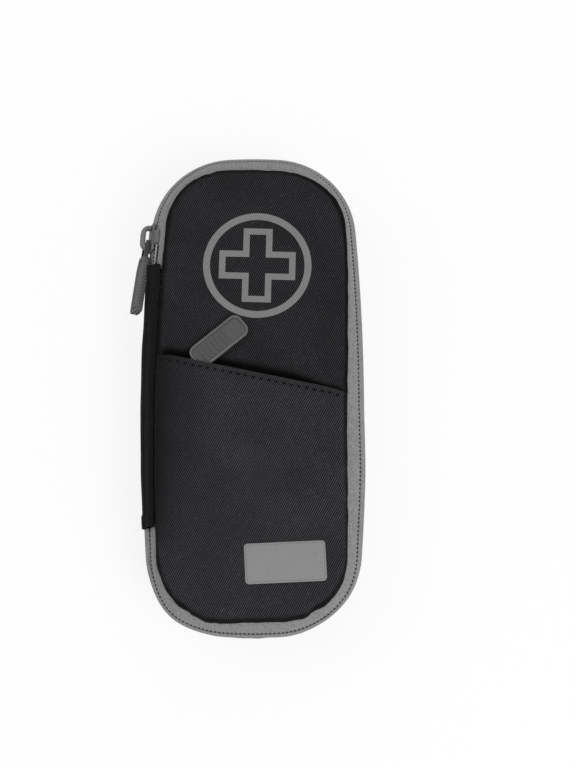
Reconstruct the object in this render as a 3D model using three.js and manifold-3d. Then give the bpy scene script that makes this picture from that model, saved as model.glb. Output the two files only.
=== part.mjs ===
// Soft zip case that keeps insulin pens cool: a padded tub and lid joined by a fabric spine.
// Millimetres. +Z is the front of the case, +Y its top end, and the spine lies at -X.
// The case lies on its back, and z = 0 is the outer face of the card window.
import * as THREE from "three";
import { mergeVertices } from "three/addons/utils/BufferGeometryUtils.js";
import Module from "manifold-3d";

const wasm = await Module();
wasm.setup();

// Outline of the case at the zipper: eight arcs that meet at tangents.
const HALF_WIDTH = 45.6;
const HALF_LENGTH = 100;
const SIDE_RADIUS = 880;
const CORNER_RADIUS = 34.5;
const END_RADIUS = 180;
const SIDE_STEPS = 5;
const CORNER_STEPS = 9;
const END_STEPS = 5;
const SEAM_STEPS = 2;
const FINE_STEPS = 40;

// Clearance between pieces that touch, hairline gaps, and the thin layers of cloth.
const CLEARANCE = 0.3;
const HAIRLINE = 0.1;
const CLOTH = 1.0;
const LINING = 0.6;

// Back of the tub, from the card window inwards.
const WINDOW_SHEET = 0.5;
const WINDOW_GAP = 1.0;
const WINDOW_SPINE_MARGIN = 6.1;
const WINDOW_FREE_MARGIN = 9.6;
const WINDOW_LENGTH = 104;
const WINDOW_RADIUS = 3;
const WINDOW_WELD = 4.5;
const BEAD_WIDTH = 1.4;
const CARD_OPEN_SLACK = 4.1;
const CARD_FREE_SLACK = 10.5;
const CARD_END_SLACK = 2.5;
const CARD_SHEET = 0.4;
const CARD_RADIUS = 3;
const BACK_PANEL = 1.5;
const BACK_SEAM_INSET = 4.6;
const FLOOR_FOAM = 3.5;

// Walls of the tub.
const GUSSET_BULGE = 4.2;
const GUSSET_SHOULDER = 7;
const GUSSET_LEAN = 0.3;
const SHOULDER_STEPS = 4;
const REAR_TAPE_SHOW = 8.5;
const SEAM_OVERLAP = 1.7;
const WALL_INSET = 6.5;
const WALL_TOP_DROP = 6.5;
const WALL_BEVEL = 0.8;

// Zipper: the chain leans outwards and carries a reversed coil behind its tapes.
const ZIP_HEIGHT = 30;
const CHAIN_INSET = 1.2;
const CHAIN_LEAN = THREE.MathUtils.degToRad(20);
const TAPE = 0.6;
const TAPE_PARTING = 0.9;
const COIL_WIDTH = 2.4;
const COIL_DEPTH = 2.1;
const COIL_BEVEL = 0.6;
const TAPE_FLANGE = 2.4;
const TAPE_KNEE_WIDTH = 0.4;
const TAPE_KNEE_DROP = 0.8;
const TAPE_ROLL_WIDTH = 2.2;
const TAPE_ROLL_DROP = 2.5;
const ZIPPER_END_FROM_SLIDER = 10.5;

// Spine: a fabric band that stops short of the corners at both ends.
const SPINE_TOP_DROP = 14.9;
const SPINE_FOOT_RISE = 10.9;
const SPINE_CLOTH = 1.4;
const SPINE_PROUD = 0.2;
const SPINE_LOWER_BEND = 5;
const SPINE_UPPER_BEND = 2;
const SPINE_SHOULDER = 1.4;
const SPINE_SHOULDER_DROP = 2;
const SPINE_HEAD_RISE = 0.9;
const SPINE_STEPS = 6;

// Main slider, its crown and its pull.
const SLIDER_FROM_SPINE = 11;
const SLIDER_LENGTH = 12.4;
const SLIDER_NOSE_WIDTH = 8;
const SLIDER_TAIL_WIDTH = 6;
const SLIDER_NOSE_ROUND = 2;
const SLIDER_PLATE = 1;
const SLIDER_WEB = 0.9;
const INNER_PLATE_WIDTH = 6.4;
const INNER_PLATE_LENGTH = 7;
const INNER_PLATE_SLACK = 1.1;
const WEB_INSET = 0.6;
const CROWN_LENGTH = 10.4;
const CROWN_BAR = 1.3;
const CROWN_WIDTH = 3;
const PIN_RADIUS = 0.7;
const PIN_SIDES = 10;
const PIN_FROM_POST = 1.6;
const LINK_REACH = 8;
const LINK_ARM = 0.9;
const LINK_DEPTH = 1.8;
const LINK_END = 0.2;
const LINK_BRIDGE = 2;
const PULL_LENGTH = 22;
const PULL_WIDTH = 8;
const PULL_NECK = 6;
const PULL_SHEET = 2.4;
const PULL_LEAN = THREE.MathUtils.degToRad(3.5);

// Lid, from the front panel inwards.
const LID_RISE = 8.4;
const FRONT_PANEL = 2.8;
const FRONT_SEAM_INSET = 7.4;
const FRONT_CROWN_WIDTH = 4.2;
const FRONT_CROWN_SHAPE = [[0, 0.36], [0.12, 0.68], [0.4, 0.9], [1, 1]];
const FRONT_ROLL_WIDTH = 1;
const FRONT_ROLL_RISE = 0.3;
const LID_FOAM = 2.5;
const LID_LINING_REACH = 0.2;
const LID_ROLL_WIDTH = 3;
const LID_ROLL_RISE = 1.5;
const LID_KNEE_WIDTH = 1.1;
const LID_KNEE_RISE = 0.4;
const MESH = 0.6;
const MESH_INSET = 9.5;
const MESH_SLOPE = 9;
const MESH_BEND_RUN = 1.5;
const MESH_BEND_RISE = 0.8;
const MESH_TOP_Y = 12;
const TRIM_WIDTH = 8;
const TRIM_SHEET = 1;
const TRIM_INSET = 0.6;
const GEL_SIDE_SLACK = 1.1;
const GEL_FOOT_SLACK = 7.5;
const GEL_PEEK = 3.7;
const GEL_DEPTH = 6.8;
const GEL_RADIUS = 10;
const GEL_STEPS = 4;
const GEL_CROWN_WIDTH = 7;
const GEL_FLANK_WIDTH = 2.5;
const GEL_FLANK_SHARE = 0.3;
const GEL_HEM = 0.6;
const GEL_HEM_SHEET = 0.8;

// Elastic straps that hold three pens.
const LOOP_COUNT = 3;
const LOOP_GAP = 5;
const LOOP_CLEAR = 3.4;
const LOOP_STEPS = 10;
const STRAP_SHEET = 0.9;
const STRAP_WIDTH = 24;
const STRAP_Y = 40;
const STRAP_END = 3;

// Front pocket: a slanted hem over a hidden zipper.
const POCKET_CLOTH = 1.4;
const POCKET_MARGIN = 1;
const POCKET_ROWS = 18;
const POCKET_ROW_SPREAD = 1.35;
const POCKET_COLUMNS = 8;
const POCKET_CROWN_SHARES = [0, 0.25, 0.6];
const POCKET_CROWN_LIMIT = 0.3;
const HEM_LEFT_Y = 14;
const HEM_ANGLE = THREE.MathUtils.degToRad(-12.5);
const HEM_CLEAR = 0.4;
const HEM_FLAT_MARGIN = 1.1;
const HEM_RAMP = 12;
const HEM_END_RAMP = 7.3;
const MOUTH_DEPTH = 2.3;
const MOUTH_MARGIN = 8;
const MOUTH_HALF_WIDTH = 5.2;
const POCKET_ZIP_DROP = 7;
const POCKET_TAPE = 0.4;
const POCKET_PARTING = 0.8;
const POCKET_COIL_WIDTH = 1.6;
const POCKET_COIL = 1;
const POCKET_SLIDER_ALONG = 14;
const POCKET_SLIDER_LENGTH = 9;
const POCKET_SLIDER_WIDTH = 5.8;
const POCKET_PLATE = 0.7;
const POCKET_WEB = 0.8;
const POCKET_WEB_INSET = 1;
const POCKET_CROWN_LENGTH = 8;
const POCKET_CROWN_BAR = 0.6;
const POCKET_CROWN_WIDTH = 1.6;
const POCKET_POST = 1;
const EYE_BORE = 1.8;
const EYE_RIM = 0.9;
const EYE_SHEET = 0.5;
const EYE_TONGUE = 7.4;
const EYE_STEPS = 10;
const TAB_ANGLE = THREE.MathUtils.degToRad(39.6);
const TAB_LENGTH = 24;
const TAB_WIDTH = 10;
const TAB_SHEET = 2.6;
const TAB_REST = 0.7;
const TAB_RADIUS = 2.6;

// Printed sign and patch on the front.
const PRINT = 0.25;
const SIGN_X = 1.5;
const SIGN_FROM_TOP = 49.5;
const SIGN_TURN = THREE.MathUtils.degToRad(-1.5);
const RING_RADIUS = 22.2;
const RING_STROKE = 2.9;
const RING_STEPS = 24;
const CROSS_SPAN = 31.5;
const CROSS_ARM = 12;
const CROSS_STROKE = 2.65;
const PATCH_X = 12.2;
const PATCH_FROM_FOOT = 30;
const PATCH_WIDTH = 31.4;
const PATCH_HEIGHT = 16;
const PATCH_SHEET = 0.7;
const PATCH_RADIUS = 2.4;
const PATCH_TURN = THREE.MathUtils.degToRad(2.8);

// Levels that follow from the layers.
const backZ = WINDOW_SHEET + WINDOW_GAP;
const backTopZ = backZ + BACK_PANEL;
const foamZ = backTopZ + CLEARANCE;
const foamTopZ = foamZ + FLOOR_FOAM;
const floorZ = foamTopZ + CLEARANCE;
const floorTopZ = floorZ + LINING;
const gussetTopZ = ZIP_HEIGHT - REAR_TAPE_SHOW;
const wallTopZ = ZIP_HEIGHT - WALL_TOP_DROP;
const frontZ = ZIP_HEIGHT + LID_RISE;
const frontTopZ = frontZ + FRONT_PANEL;
const lidFoamZ = frontZ - CLEARANCE - LID_FOAM;
const lidLiningZ = lidFoamZ - CLEARANCE - LINING;
const gelTopZ = lidLiningZ - CLEARANCE;
const gelZ = gelTopZ - GEL_DEPTH;
const meshZ = gelZ - CLEARANCE - MESH;
const trimZ = meshZ + MESH - TRIM_SHEET;

// Levels in the front pocket, from the floor of its sunk mouth.
const mouthFloorZ = frontTopZ - MOUTH_DEPTH;
const pocketSliderZ = mouthFloorZ + CLEARANCE;
const pocketTapeZ = pocketSliderZ + POCKET_PLATE + CLEARANCE;
const pocketCoilZ = pocketTapeZ + POCKET_TAPE + CLEARANCE;
const pocketPlateZ = pocketCoilZ + POCKET_COIL + CLEARANCE;
const pocketPlateTopZ = pocketPlateZ + POCKET_PLATE;
const eyeZ = pocketPlateTopZ + CLEARANCE;
const crownBarZ = eyeZ + EYE_SHEET + CLEARANCE;
const crownBarTopZ = crownBarZ + POCKET_CROWN_BAR;
const tabTopZ = frontTopZ + TAB_REST + TAB_SHEET;
const hemZ = Math.max(crownBarTopZ, tabTopZ) + HEM_CLEAR;

// Widths that follow from the seams.
const pocketInset = FRONT_SEAM_INSET + POCKET_MARGIN;
const lidEdge = FRONT_SEAM_INSET - LID_LINING_REACH;
const tapeFlange = FRONT_SEAM_INSET + TAPE_FLANGE;
const hemFlat = POCKET_ZIP_DROP + POCKET_SLIDER_WIDTH / 2 + HEM_FLAT_MARGIN;

// Materials.
const material = (color, roughness, metalness = 0) =>
  new THREE.MeshStandardMaterial({ color, roughness, metalness });
const twill = material(0x26272a, 0.85);
const spineCloth = material(0x1b1c1f, 0.9);
const zipperTape = material(0x808285, 0.8);
const zipperCoil = material(0x6f7174, 0.5);
const rubber = material(0x3d3f42, 0.6);
const gunmetal = material(0x4a4c50, 0.4, 0.7);
const foam = material(0xb9bbbd, 0.95);
const insulation = material(0xa9adb2, 0.35);
const elastic = material(0x1d1e20, 0.9);
const netting = material(0x2a2b2d, 0.9);
const clearVinyl = material(0xd8dde0, 0.1);
const cardStock = material(0xe9e9e6, 0.7);
const print = material(0x8c8e90, 0.7);
const gelFilm = material(0x9cc7e6, 0.3);

// Outline stations: a point on the zipper's outline and the outward normal there.
const sideCentreX = HALF_WIDTH - SIDE_RADIUS;
const endCentreY = HALF_LENGTH - END_RADIUS;

function cornerCentre() {
  const fromSide = SIDE_RADIUS - CORNER_RADIUS;
  const fromEnd = END_RADIUS - CORNER_RADIUS;
  const span = Math.hypot(sideCentreX, endCentreY);
  const along = (fromSide ** 2 - fromEnd ** 2 + span ** 2) / (2 * span);
  const across = Math.sqrt(fromSide ** 2 - along ** 2);
  const dx = -sideCentreX / span;
  const dy = endCentreY / span;
  return new THREE.Vector2(sideCentreX + along * dx - across * dy, along * dy + across * dx);
}

const corner = cornerCentre();
const sideAngle = Math.atan2(corner.y, corner.x - sideCentreX);
const endAngle = Math.atan2(corner.y - endCentreY, corner.x);

function arc(centreX, centreY, radius, from, to, steps) {
  const stations = [];
  for (let step = 0; step <= steps; step += 1) {
    const angle = from + ((to - from) * step) / steps;
    const nx = Math.cos(angle);
    const ny = Math.sin(angle);
    stations.push({ x: centreX + radius * nx, y: centreY + radius * ny, nx, ny });
  }
  return stations;
}

const leftAngle = (y) => Math.PI - Math.asin(y / SIDE_RADIUS);
const leftArc = (fromY, toY, steps) =>
  arc(-sideCentreX, 0, SIDE_RADIUS, leftAngle(fromY), leftAngle(toY), steps);

const sideTopY = SIDE_RADIUS * Math.sin(sideAngle);
const sideHalfWidth = (y) => sideCentreX + Math.sqrt(SIDE_RADIUS ** 2 - y ** 2);

// Places along the spine's side.
const spineTopY = sideTopY - SPINE_TOP_DROP;
const spineFootY = SPINE_FOOT_RISE - sideTopY;
const sliderY = spineTopY + SLIDER_FROM_SPINE;
const zipperEndY = sliderY + ZIPPER_END_FROM_SLIDER;

// From the spine's lower end, counter-clockwise round the case, to the start of the top left corner.
function openOutline() {
  const pi = Math.PI;
  const { x, y } = corner;
  return [
    ...leftArc(spineFootY, -sideTopY, SEAM_STEPS),
    ...arc(-x, -y, CORNER_RADIUS, pi + sideAngle, pi + endAngle, CORNER_STEPS).slice(1),
    ...arc(0, -endCentreY, END_RADIUS, pi + endAngle, 2 * pi - endAngle, END_STEPS).slice(1),
    ...arc(x, -y, CORNER_RADIUS, -endAngle, -sideAngle, CORNER_STEPS).slice(1),
    ...arc(sideCentreX, 0, SIDE_RADIUS, -sideAngle, sideAngle, SIDE_STEPS).slice(1),
    ...arc(x, y, CORNER_RADIUS, sideAngle, endAngle, CORNER_STEPS).slice(1),
    ...arc(0, endCentreY, END_RADIUS, endAngle, pi - endAngle, END_STEPS).slice(1),
  ];
}

const topLeftCorner = (from, to, steps) => arc(-corner.x, corner.y, CORNER_RADIUS, from, to, steps);
const zipperEndAngle = Math.PI - Math.asin((zipperEndY - corner.y) / CORNER_RADIUS);

const zipperPath = [
  ...openOutline(),
  ...topLeftCorner(Math.PI - endAngle, zipperEndAngle, CORNER_STEPS - 2).slice(1),
];
const zipperEndPath = [
  ...topLeftCorner(zipperEndAngle + CLEARANCE / CORNER_RADIUS, Math.PI - sideAngle, SEAM_STEPS),
  ...leftArc(sideTopY, spineTopY + CLEARANCE, SEAM_STEPS).slice(1),
];
const wholeZipperPath = [
  ...openOutline(),
  ...topLeftCorner(Math.PI - endAngle, Math.PI - sideAngle, CORNER_STEPS).slice(1),
  ...leftArc(sideTopY, spineTopY + CLEARANCE, SEAM_STEPS).slice(1),
];
const closedOutline = [
  ...wholeZipperPath,
  ...leftArc(spineTopY, spineFootY, SIDE_STEPS).slice(1, -1),
];

// Closed body from vertices and triangles, turned outwards if its volume is negative.
function body(vertices, triangles) {
  const at = (index) => new THREE.Vector3(...vertices[index]);
  let volume = 0;
  for (const [a, b, c] of triangles) {
    volume += at(a).dot(at(b).cross(at(c)));
  }
  const facing = volume < 0 ? triangles.map(([a, b, c]) => [a, c, b]) : triangles;
  const geometry = new THREE.BufferGeometry();
  geometry.setAttribute("position", new THREE.Float32BufferAttribute(vertices.flat(), 3));
  geometry.setIndex(facing.flat());
  return geometry;
}

const place = (station, [inset, z]) => [station.x - inset * station.nx, station.y - inset * station.ny, z];

// Band: a closed section of (inset, z) points carried along an open or closed path.
function band(path, section, closed) {
  const count = section.length;
  const vertices = path.flatMap((station) => section.map((point) => place(station, point)));
  const triangles = [];
  const spans = closed ? path.length : path.length - 1;
  for (let span = 0; span < spans; span += 1) {
    const near = span * count;
    const far = ((span + 1) % path.length) * count;
    for (let k = 0; k < count; k += 1) {
      const next = (k + 1) % count;
      triangles.push([near + k, far + k, far + next], [near + k, far + next, near + next]);
    }
  }
  if (!closed) {
    const contour = section.map(([inset, z]) => new THREE.Vector2(inset, z));
    const cap = THREE.ShapeUtils.triangulateShape(contour, []);
    const area = THREE.ShapeUtils.area(contour);
    const last = (path.length - 1) * count;
    for (const [a, b, c] of cap) {
      const turn = THREE.ShapeUtils.area([contour[a], contour[b], contour[c]]);
      const near = turn * area > 0 ? [a, b, c] : [a, c, b];
      triangles.push(near, [last + near[0], last + near[2], last + near[1]]);
    }
  }
  return body(vertices, triangles);
}

// Plate: rings of (inset, z) from the middle of the underside, round the edge, to the middle of the top.
function plate(path, profile) {
  const count = path.length;
  const vertices = profile.flatMap((point) => path.map((station) => place(station, point)));
  const triangles = [];
  for (let ring = 0; ring + 1 < profile.length; ring += 1) {
    for (let k = 0; k < count; k += 1) {
      const a = ring * count + k;
      const b = ring * count + ((k + 1) % count);
      triangles.push([a, b, b + count], [a, b + count, a + count]);
    }
  }
  const under = vertices.length;
  const middle = new THREE.Vector2();
  path.forEach((station) => middle.add(new THREE.Vector2(station.x, station.y)));
  middle.divideScalar(count);
  vertices.push([middle.x, middle.y, profile[0][1]], [middle.x, middle.y, profile[profile.length - 1][1]]);
  const top = (profile.length - 1) * count;
  for (let k = 0; k < count; k += 1) {
    const next = (k + 1) % count;
    triangles.push([under, next, k], [under + 1, top + k, top + next]);
  }
  return body(vertices, triangles);
}

// Booleans.
function solid(geometry) {
  const plain = geometry.clone();
  plain.deleteAttribute("normal");
  plain.deleteAttribute("uv");
  const merged = mergeVertices(plain, 1e-4);
  return new wasm.Manifold(
    new wasm.Mesh({
      numProp: 3,
      vertProperties: new Float32Array(merged.attributes.position.array),
      triVerts: new Uint32Array(merged.index.array),
    }),
  );
}

function shape3d(manifold) {
  const mesh = manifold.getMesh();
  const geometry = new THREE.BufferGeometry();
  geometry.setAttribute("position", new THREE.BufferAttribute(mesh.vertProperties, 3));
  geometry.setIndex(new THREE.BufferAttribute(mesh.triVerts, 1));
  return geometry;
}

const joined = (geometries) => shape3d(geometries.map(solid).reduce((sum, next) => sum.add(next)));
const cut = (geometry, tool) => shape3d(solid(geometry).subtract(solid(tool)));

// Simple shapes.
function block(x0, x1, y0, y1, z0, z1) {
  const geometry = new THREE.BoxGeometry(x1 - x0, y1 - y0, z1 - z0);
  return geometry.translate((x0 + x1) / 2, (y0 + y1) / 2, (z0 + z1) / 2);
}

function roundedRectangle(width, height, radius) {
  const shape = new THREE.Shape();
  const x = width / 2 - radius;
  const y = height / 2 - radius;
  shape.absarc(x, y, radius, 0, Math.PI / 2);
  shape.absarc(-x, y, radius, Math.PI / 2, Math.PI);
  shape.absarc(-x, -y, radius, Math.PI, 1.5 * Math.PI);
  shape.absarc(x, -y, radius, 1.5 * Math.PI, 2 * Math.PI);
  shape.closePath();
  return shape;
}

function sheet(shape, depth, curveSegments = 4) {
  return new THREE.ExtrudeGeometry(shape, { depth, bevelEnabled: false, curveSegments });
}

// Section of a strip: a centre line given its thickness to one side.
function stripShape(line, thickness) {
  const offset = line.map((point, k) => {
    const before = line[Math.max(k - 1, 0)];
    const after = line[Math.min(k + 1, line.length - 1)];
    const run = after.clone().sub(before).normalize();
    return new THREE.Vector2(point.x - run.y * thickness, point.y + run.x * thickness);
  });
  return new THREE.Shape([...line, ...offset.reverse()]);
}

const group = new THREE.Group();

function add(parent, name, geometry, finish) {
  const mesh = new THREE.Mesh(geometry, finish);
  mesh.name = name;
  parent.add(mesh);
  return mesh;
}

// Back of the tub: clear window, welded border, bead on its open edge, card and panel.
function buildBack() {
  const width = 2 * HALF_WIDTH - WINDOW_SPINE_MARGIN - WINDOW_FREE_MARGIN;
  const left = -width / 2 + BEAD_WIDTH;
  const right = width / 2;
  const half = WINDOW_LENGTH / 2;
  const pane = new THREE.Shape();
  pane.moveTo(left, -half);
  pane.lineTo(right - WINDOW_RADIUS, -half);
  pane.absarc(right - WINDOW_RADIUS, -half + WINDOW_RADIUS, WINDOW_RADIUS, -Math.PI / 2, 0);
  pane.absarc(right - WINDOW_RADIUS, half - WINDOW_RADIUS, WINDOW_RADIUS, 0, Math.PI / 2);
  pane.lineTo(left, half);
  pane.closePath();
  const weld = new THREE.Shape();
  weld.moveTo(left, -half);
  weld.lineTo(right - WINDOW_RADIUS, -half);
  weld.absarc(right - WINDOW_RADIUS, -half + WINDOW_RADIUS, WINDOW_RADIUS, -Math.PI / 2, 0);
  weld.absarc(right - WINDOW_RADIUS, half - WINDOW_RADIUS, WINDOW_RADIUS, 0, Math.PI / 2);
  weld.lineTo(left, half);
  weld.lineTo(left, half - WINDOW_WELD);
  weld.lineTo(right - WINDOW_WELD, half - WINDOW_WELD);
  weld.lineTo(right - WINDOW_WELD, -half + WINDOW_WELD);
  weld.lineTo(left, -half + WINDOW_WELD);
  weld.closePath();

  const window = new THREE.Group();
  window.position.x = (WINDOW_SPINE_MARGIN - WINDOW_FREE_MARGIN) / 2;
  group.add(window);
  add(window, "id_window", sheet(pane, WINDOW_SHEET), clearVinyl);
  add(window, "id_window_border", sheet(weld, WINDOW_GAP), clearVinyl).position.z = WINDOW_SHEET;
  const bead = block(left - BEAD_WIDTH, left, -half, half, 0, WINDOW_SHEET + HAIRLINE);
  add(window, "id_window_bead", bead, clearVinyl);
  const cardLeft = left + CARD_OPEN_SLACK;
  const cardWidth = right - WINDOW_WELD - CARD_FREE_SLACK - cardLeft;
  const cardLength = WINDOW_LENGTH - 2 * (WINDOW_WELD + CARD_END_SLACK);
  const cardShape = roundedRectangle(cardWidth, cardLength, CARD_RADIUS);
  const card = add(window, "id_card", sheet(cardShape, CARD_SHEET), cardStock);
  card.position.x = cardLeft + cardWidth / 2;
  card.position.z = WINDOW_SHEET + (WINDOW_GAP - CARD_SHEET) / 2;

  const edge = BACK_SEAM_INSET;
  const roll = BACK_PANEL / 2;
  const panel = [
    [edge + 2 * roll, backZ],
    [edge + roll / 2, backZ + roll / 2],
    [edge, backZ + roll],
    [edge, backTopZ],
  ];
  add(group, "back_panel", plate(closedOutline, panel), twill);
}

// Gusset: its foot turns under the tub on a quarter of an ellipse.
const shoulderZ = backTopZ - HAIRLINE + GUSSET_SHOULDER;

function gussetInner(z) {
  const cos = Math.min((shoulderZ - z) / (GUSSET_SHOULDER - CLOTH), 1);
  return GUSSET_BULGE - (GUSSET_BULGE - CLOTH) * Math.sqrt(1 - cos ** 2);
}

// Walls and lining of the tub.
function buildTub() {
  const outer = [];
  const inner = [];
  for (let step = 0; step <= SHOULDER_STEPS; step += 1) {
    const angle = (step / SHOULDER_STEPS) * (Math.PI / 2);
    const sin = Math.sin(angle);
    const cos = Math.cos(angle);
    outer.push([GUSSET_BULGE * (1 - sin), shoulderZ - GUSSET_SHOULDER * cos]);
    inner.push([GUSSET_BULGE - (GUSSET_BULGE - CLOTH) * sin, shoulderZ - (GUSSET_SHOULDER - CLOTH) * cos]);
  }
  outer.push([GUSSET_LEAN, gussetTopZ]);
  inner.push([GUSSET_LEAN + CLOTH, gussetTopZ]);
  add(group, "gusset", band(closedOutline, [...outer, ...inner.reverse()], true), twill);

  const wallOuter = GUSSET_LEAN + CLOTH + CLEARANCE;
  const shelf = foamTopZ + CLEARANCE;
  const foot = GUSSET_BULGE + CLEARANCE;
  const footZ = shoulderZ - GUSSET_SHOULDER + CLOTH + CLEARANCE;
  const flankZ = (footZ + foamTopZ) / 2;
  const floorProfile = [
    [foot, foamZ],
    [foot, footZ],
    [gussetInner(flankZ) + CLEARANCE, flankZ],
    [gussetInner(foamTopZ) + CLEARANCE, foamTopZ],
  ];
  add(group, "floor_foam", plate(closedOutline, floorProfile), foam);
  const tapeFoot = gussetTopZ - SEAM_OVERLAP;
  const behindTape = wallOuter + TAPE + CLEARANCE;
  const wallSection = [
    [WALL_INSET, shelf],
    [gussetInner(shelf) + CLEARANCE, shelf],
    [wallOuter, shoulderZ],
    [wallOuter, tapeFoot - CLEARANCE],
    [behindTape, tapeFoot - CLEARANCE],
    [behindTape + WALL_BEVEL, wallTopZ],
    [WALL_INSET, wallTopZ],
  ];
  add(group, "wall_foam", band(closedOutline, wallSection, true), foam);

  const wallFace = WALL_INSET + CLEARANCE;
  const floorLining = [
    [wallFace, floorZ],
    [wallFace, floorTopZ],
  ];
  add(group, "floor_lining", plate(closedOutline, floorLining), insulation);
  const cap = wallTopZ + CLEARANCE;
  const capEdge = behindTape + WALL_BEVEL + CLEARANCE;
  const wallLining = [
    [wallFace, floorTopZ + CLEARANCE],
    [wallFace, cap],
    [capEdge, cap],
    [capEdge, cap + LINING],
    [wallFace + LINING / 3, cap + LINING],
    [wallFace + LINING, cap],
    [wallFace + LINING, floorTopZ + CLEARANCE],
  ];
  add(group, "wall_lining", band(closedOutline, wallLining, true), insulation);
}

// Pen straps: elastic sewn flat between loops, each loop half an ellipse.
function buildPenStraps() {
  const seatZ = floorTopZ + CLEARANCE;
  const wallInset = WALL_INSET + LINING + 2 * CLEARANCE;
  const halfStrap = sideHalfWidth(STRAP_Y + STRAP_WIDTH / 2) - wallInset;
  const pitch = (2 * (halfStrap - STRAP_END)) / LOOP_COUNT;
  const loopHalf = (pitch - LOOP_GAP) / 2;
  const loopHeight = trimZ - LOOP_CLEAR - STRAP_SHEET - seatZ;
  const line = [new THREE.Vector2(-halfStrap, seatZ)];
  for (let loop = 0; loop < LOOP_COUNT; loop += 1) {
    const middle = (loop - (LOOP_COUNT - 1) / 2) * pitch;
    for (let step = 0; step <= LOOP_STEPS; step += 1) {
      const angle = Math.PI * (1 - step / LOOP_STEPS);
      const x = middle + loopHalf * Math.cos(angle);
      line.push(new THREE.Vector2(x, seatZ + loopHeight * Math.sin(angle)));
    }
  }
  line.push(new THREE.Vector2(halfStrap, seatZ));
  const strip = stripShape(line, STRAP_SHEET);
  const places = { pen_strap_upper: STRAP_Y, pen_strap_lower: -STRAP_Y };
  for (const [name, y] of Object.entries(places)) {
    const geometry = sheet(strip, STRAP_WIDTH).rotateX(Math.PI / 2).translate(0, STRAP_WIDTH / 2, 0);
    add(group, name, geometry, elastic).position.y = y;
  }
}

// Zipper: u points out of the chain and v runs across it, from the tub to the lid.
function chain(u, v) {
  const out = u * Math.cos(CHAIN_LEAN) - v * Math.sin(CHAIN_LEAN);
  return [CHAIN_INSET - out, ZIP_HEIGHT + u * Math.sin(CHAIN_LEAN) + v * Math.cos(CHAIN_LEAN)];
}

function buildZipper() {
  const coilTop = -TAPE - CLEARANCE;
  const coilFoot = coilTop - COIL_DEPTH;
  const reach = TAPE_PARTING + COIL_WIDTH;
  const coilSection = (sign) => [
    chain(coilTop, sign * TAPE_PARTING),
    chain(coilTop, sign * reach),
    chain(coilFoot + COIL_BEVEL, sign * reach),
    chain(coilFoot, sign * (reach - COIL_BEVEL)),
    chain(coilFoot, sign * TAPE_PARTING),
  ];
  const tapeFoot = gussetTopZ - SEAM_OVERLAP;
  const tapeInset = GUSSET_LEAN + CLOTH + CLEARANCE;
  const rearTape = [
    chain(0, -TAPE_PARTING),
    chain(0, -reach),
    [tapeInset, gussetTopZ + CLEARANCE],
    [tapeInset, tapeFoot],
    [tapeInset + TAPE, tapeFoot],
    [tapeInset + TAPE, gussetTopZ + CLEARANCE],
    chain(-TAPE, -reach),
    chain(-TAPE, -TAPE_PARTING),
  ];
  const underPanel = frontZ - CLEARANCE;
  const diagonal = TAPE * Math.SQRT1_2;
  const kneeInset = FRONT_SEAM_INSET - TAPE_KNEE_WIDTH;
  const kneeZ = underPanel - TAPE_KNEE_DROP;
  const rollInset = FRONT_SEAM_INSET - TAPE_ROLL_WIDTH;
  const rollZ = underPanel - TAPE_ROLL_DROP;
  const frontTape = [
    chain(0, TAPE_PARTING),
    chain(0, reach),
    [rollInset, rollZ],
    [kneeInset, kneeZ],
    [tapeFlange, underPanel],
    [tapeFlange, underPanel - TAPE],
    [kneeInset + diagonal, kneeZ - diagonal],
    [rollInset + diagonal, rollZ - diagonal],
    chain(-TAPE, reach),
    chain(-TAPE, TAPE_PARTING),
  ];
  add(group, "rear_zipper_tape", band(wholeZipperPath, rearTape, false), zipperTape);
  add(group, "rear_zipper_coil", band(wholeZipperPath, coilSection(-1), false), zipperCoil);
  add(group, "front_zipper_tape", band(zipperPath, frontTape, false), zipperTape);
  add(group, "front_zipper_coil", band(zipperPath, coilSection(1), false), zipperCoil);
  add(group, "zipper_end_tape", band(zipperEndPath, frontTape, false), zipperTape);
  add(group, "zipper_end_coil", band(zipperEndPath, coilSection(1), false), zipperCoil);

  const foot = gussetTopZ + CLEARANCE;
  const head = frontZ + SPINE_HEAD_RISE;
  const spineEdge = FRONT_SEAM_INSET - CLEARANCE;
  const shoulderDepth = SPINE_CLOTH * Math.SQRT1_2;
  const spineShoulderZ = frontZ - SPINE_SHOULDER_DROP;
  const outer = [
    [GUSSET_LEAN, foot],
    [-SPINE_PROUD, ZIP_HEIGHT - SPINE_LOWER_BEND],
    [-SPINE_PROUD, ZIP_HEIGHT + SPINE_UPPER_BEND],
    [SPINE_SHOULDER, spineShoulderZ],
    [spineEdge, head],
  ];
  const inner = [
    [spineEdge, head - SPINE_CLOTH],
    [SPINE_SHOULDER + shoulderDepth, spineShoulderZ - shoulderDepth],
    [SPINE_CLOTH - SPINE_PROUD, ZIP_HEIGHT + SPINE_UPPER_BEND],
    [SPINE_CLOTH - SPINE_PROUD, ZIP_HEIGHT - SPINE_LOWER_BEND],
    [GUSSET_LEAN + CLOTH, foot],
  ];
  const spinePath = leftArc(spineTopY, spineFootY + CLEARANCE, SPINE_STEPS);
  add(group, "spine", band(spinePath, [...outer, ...inner], false), spineCloth);
}

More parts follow.
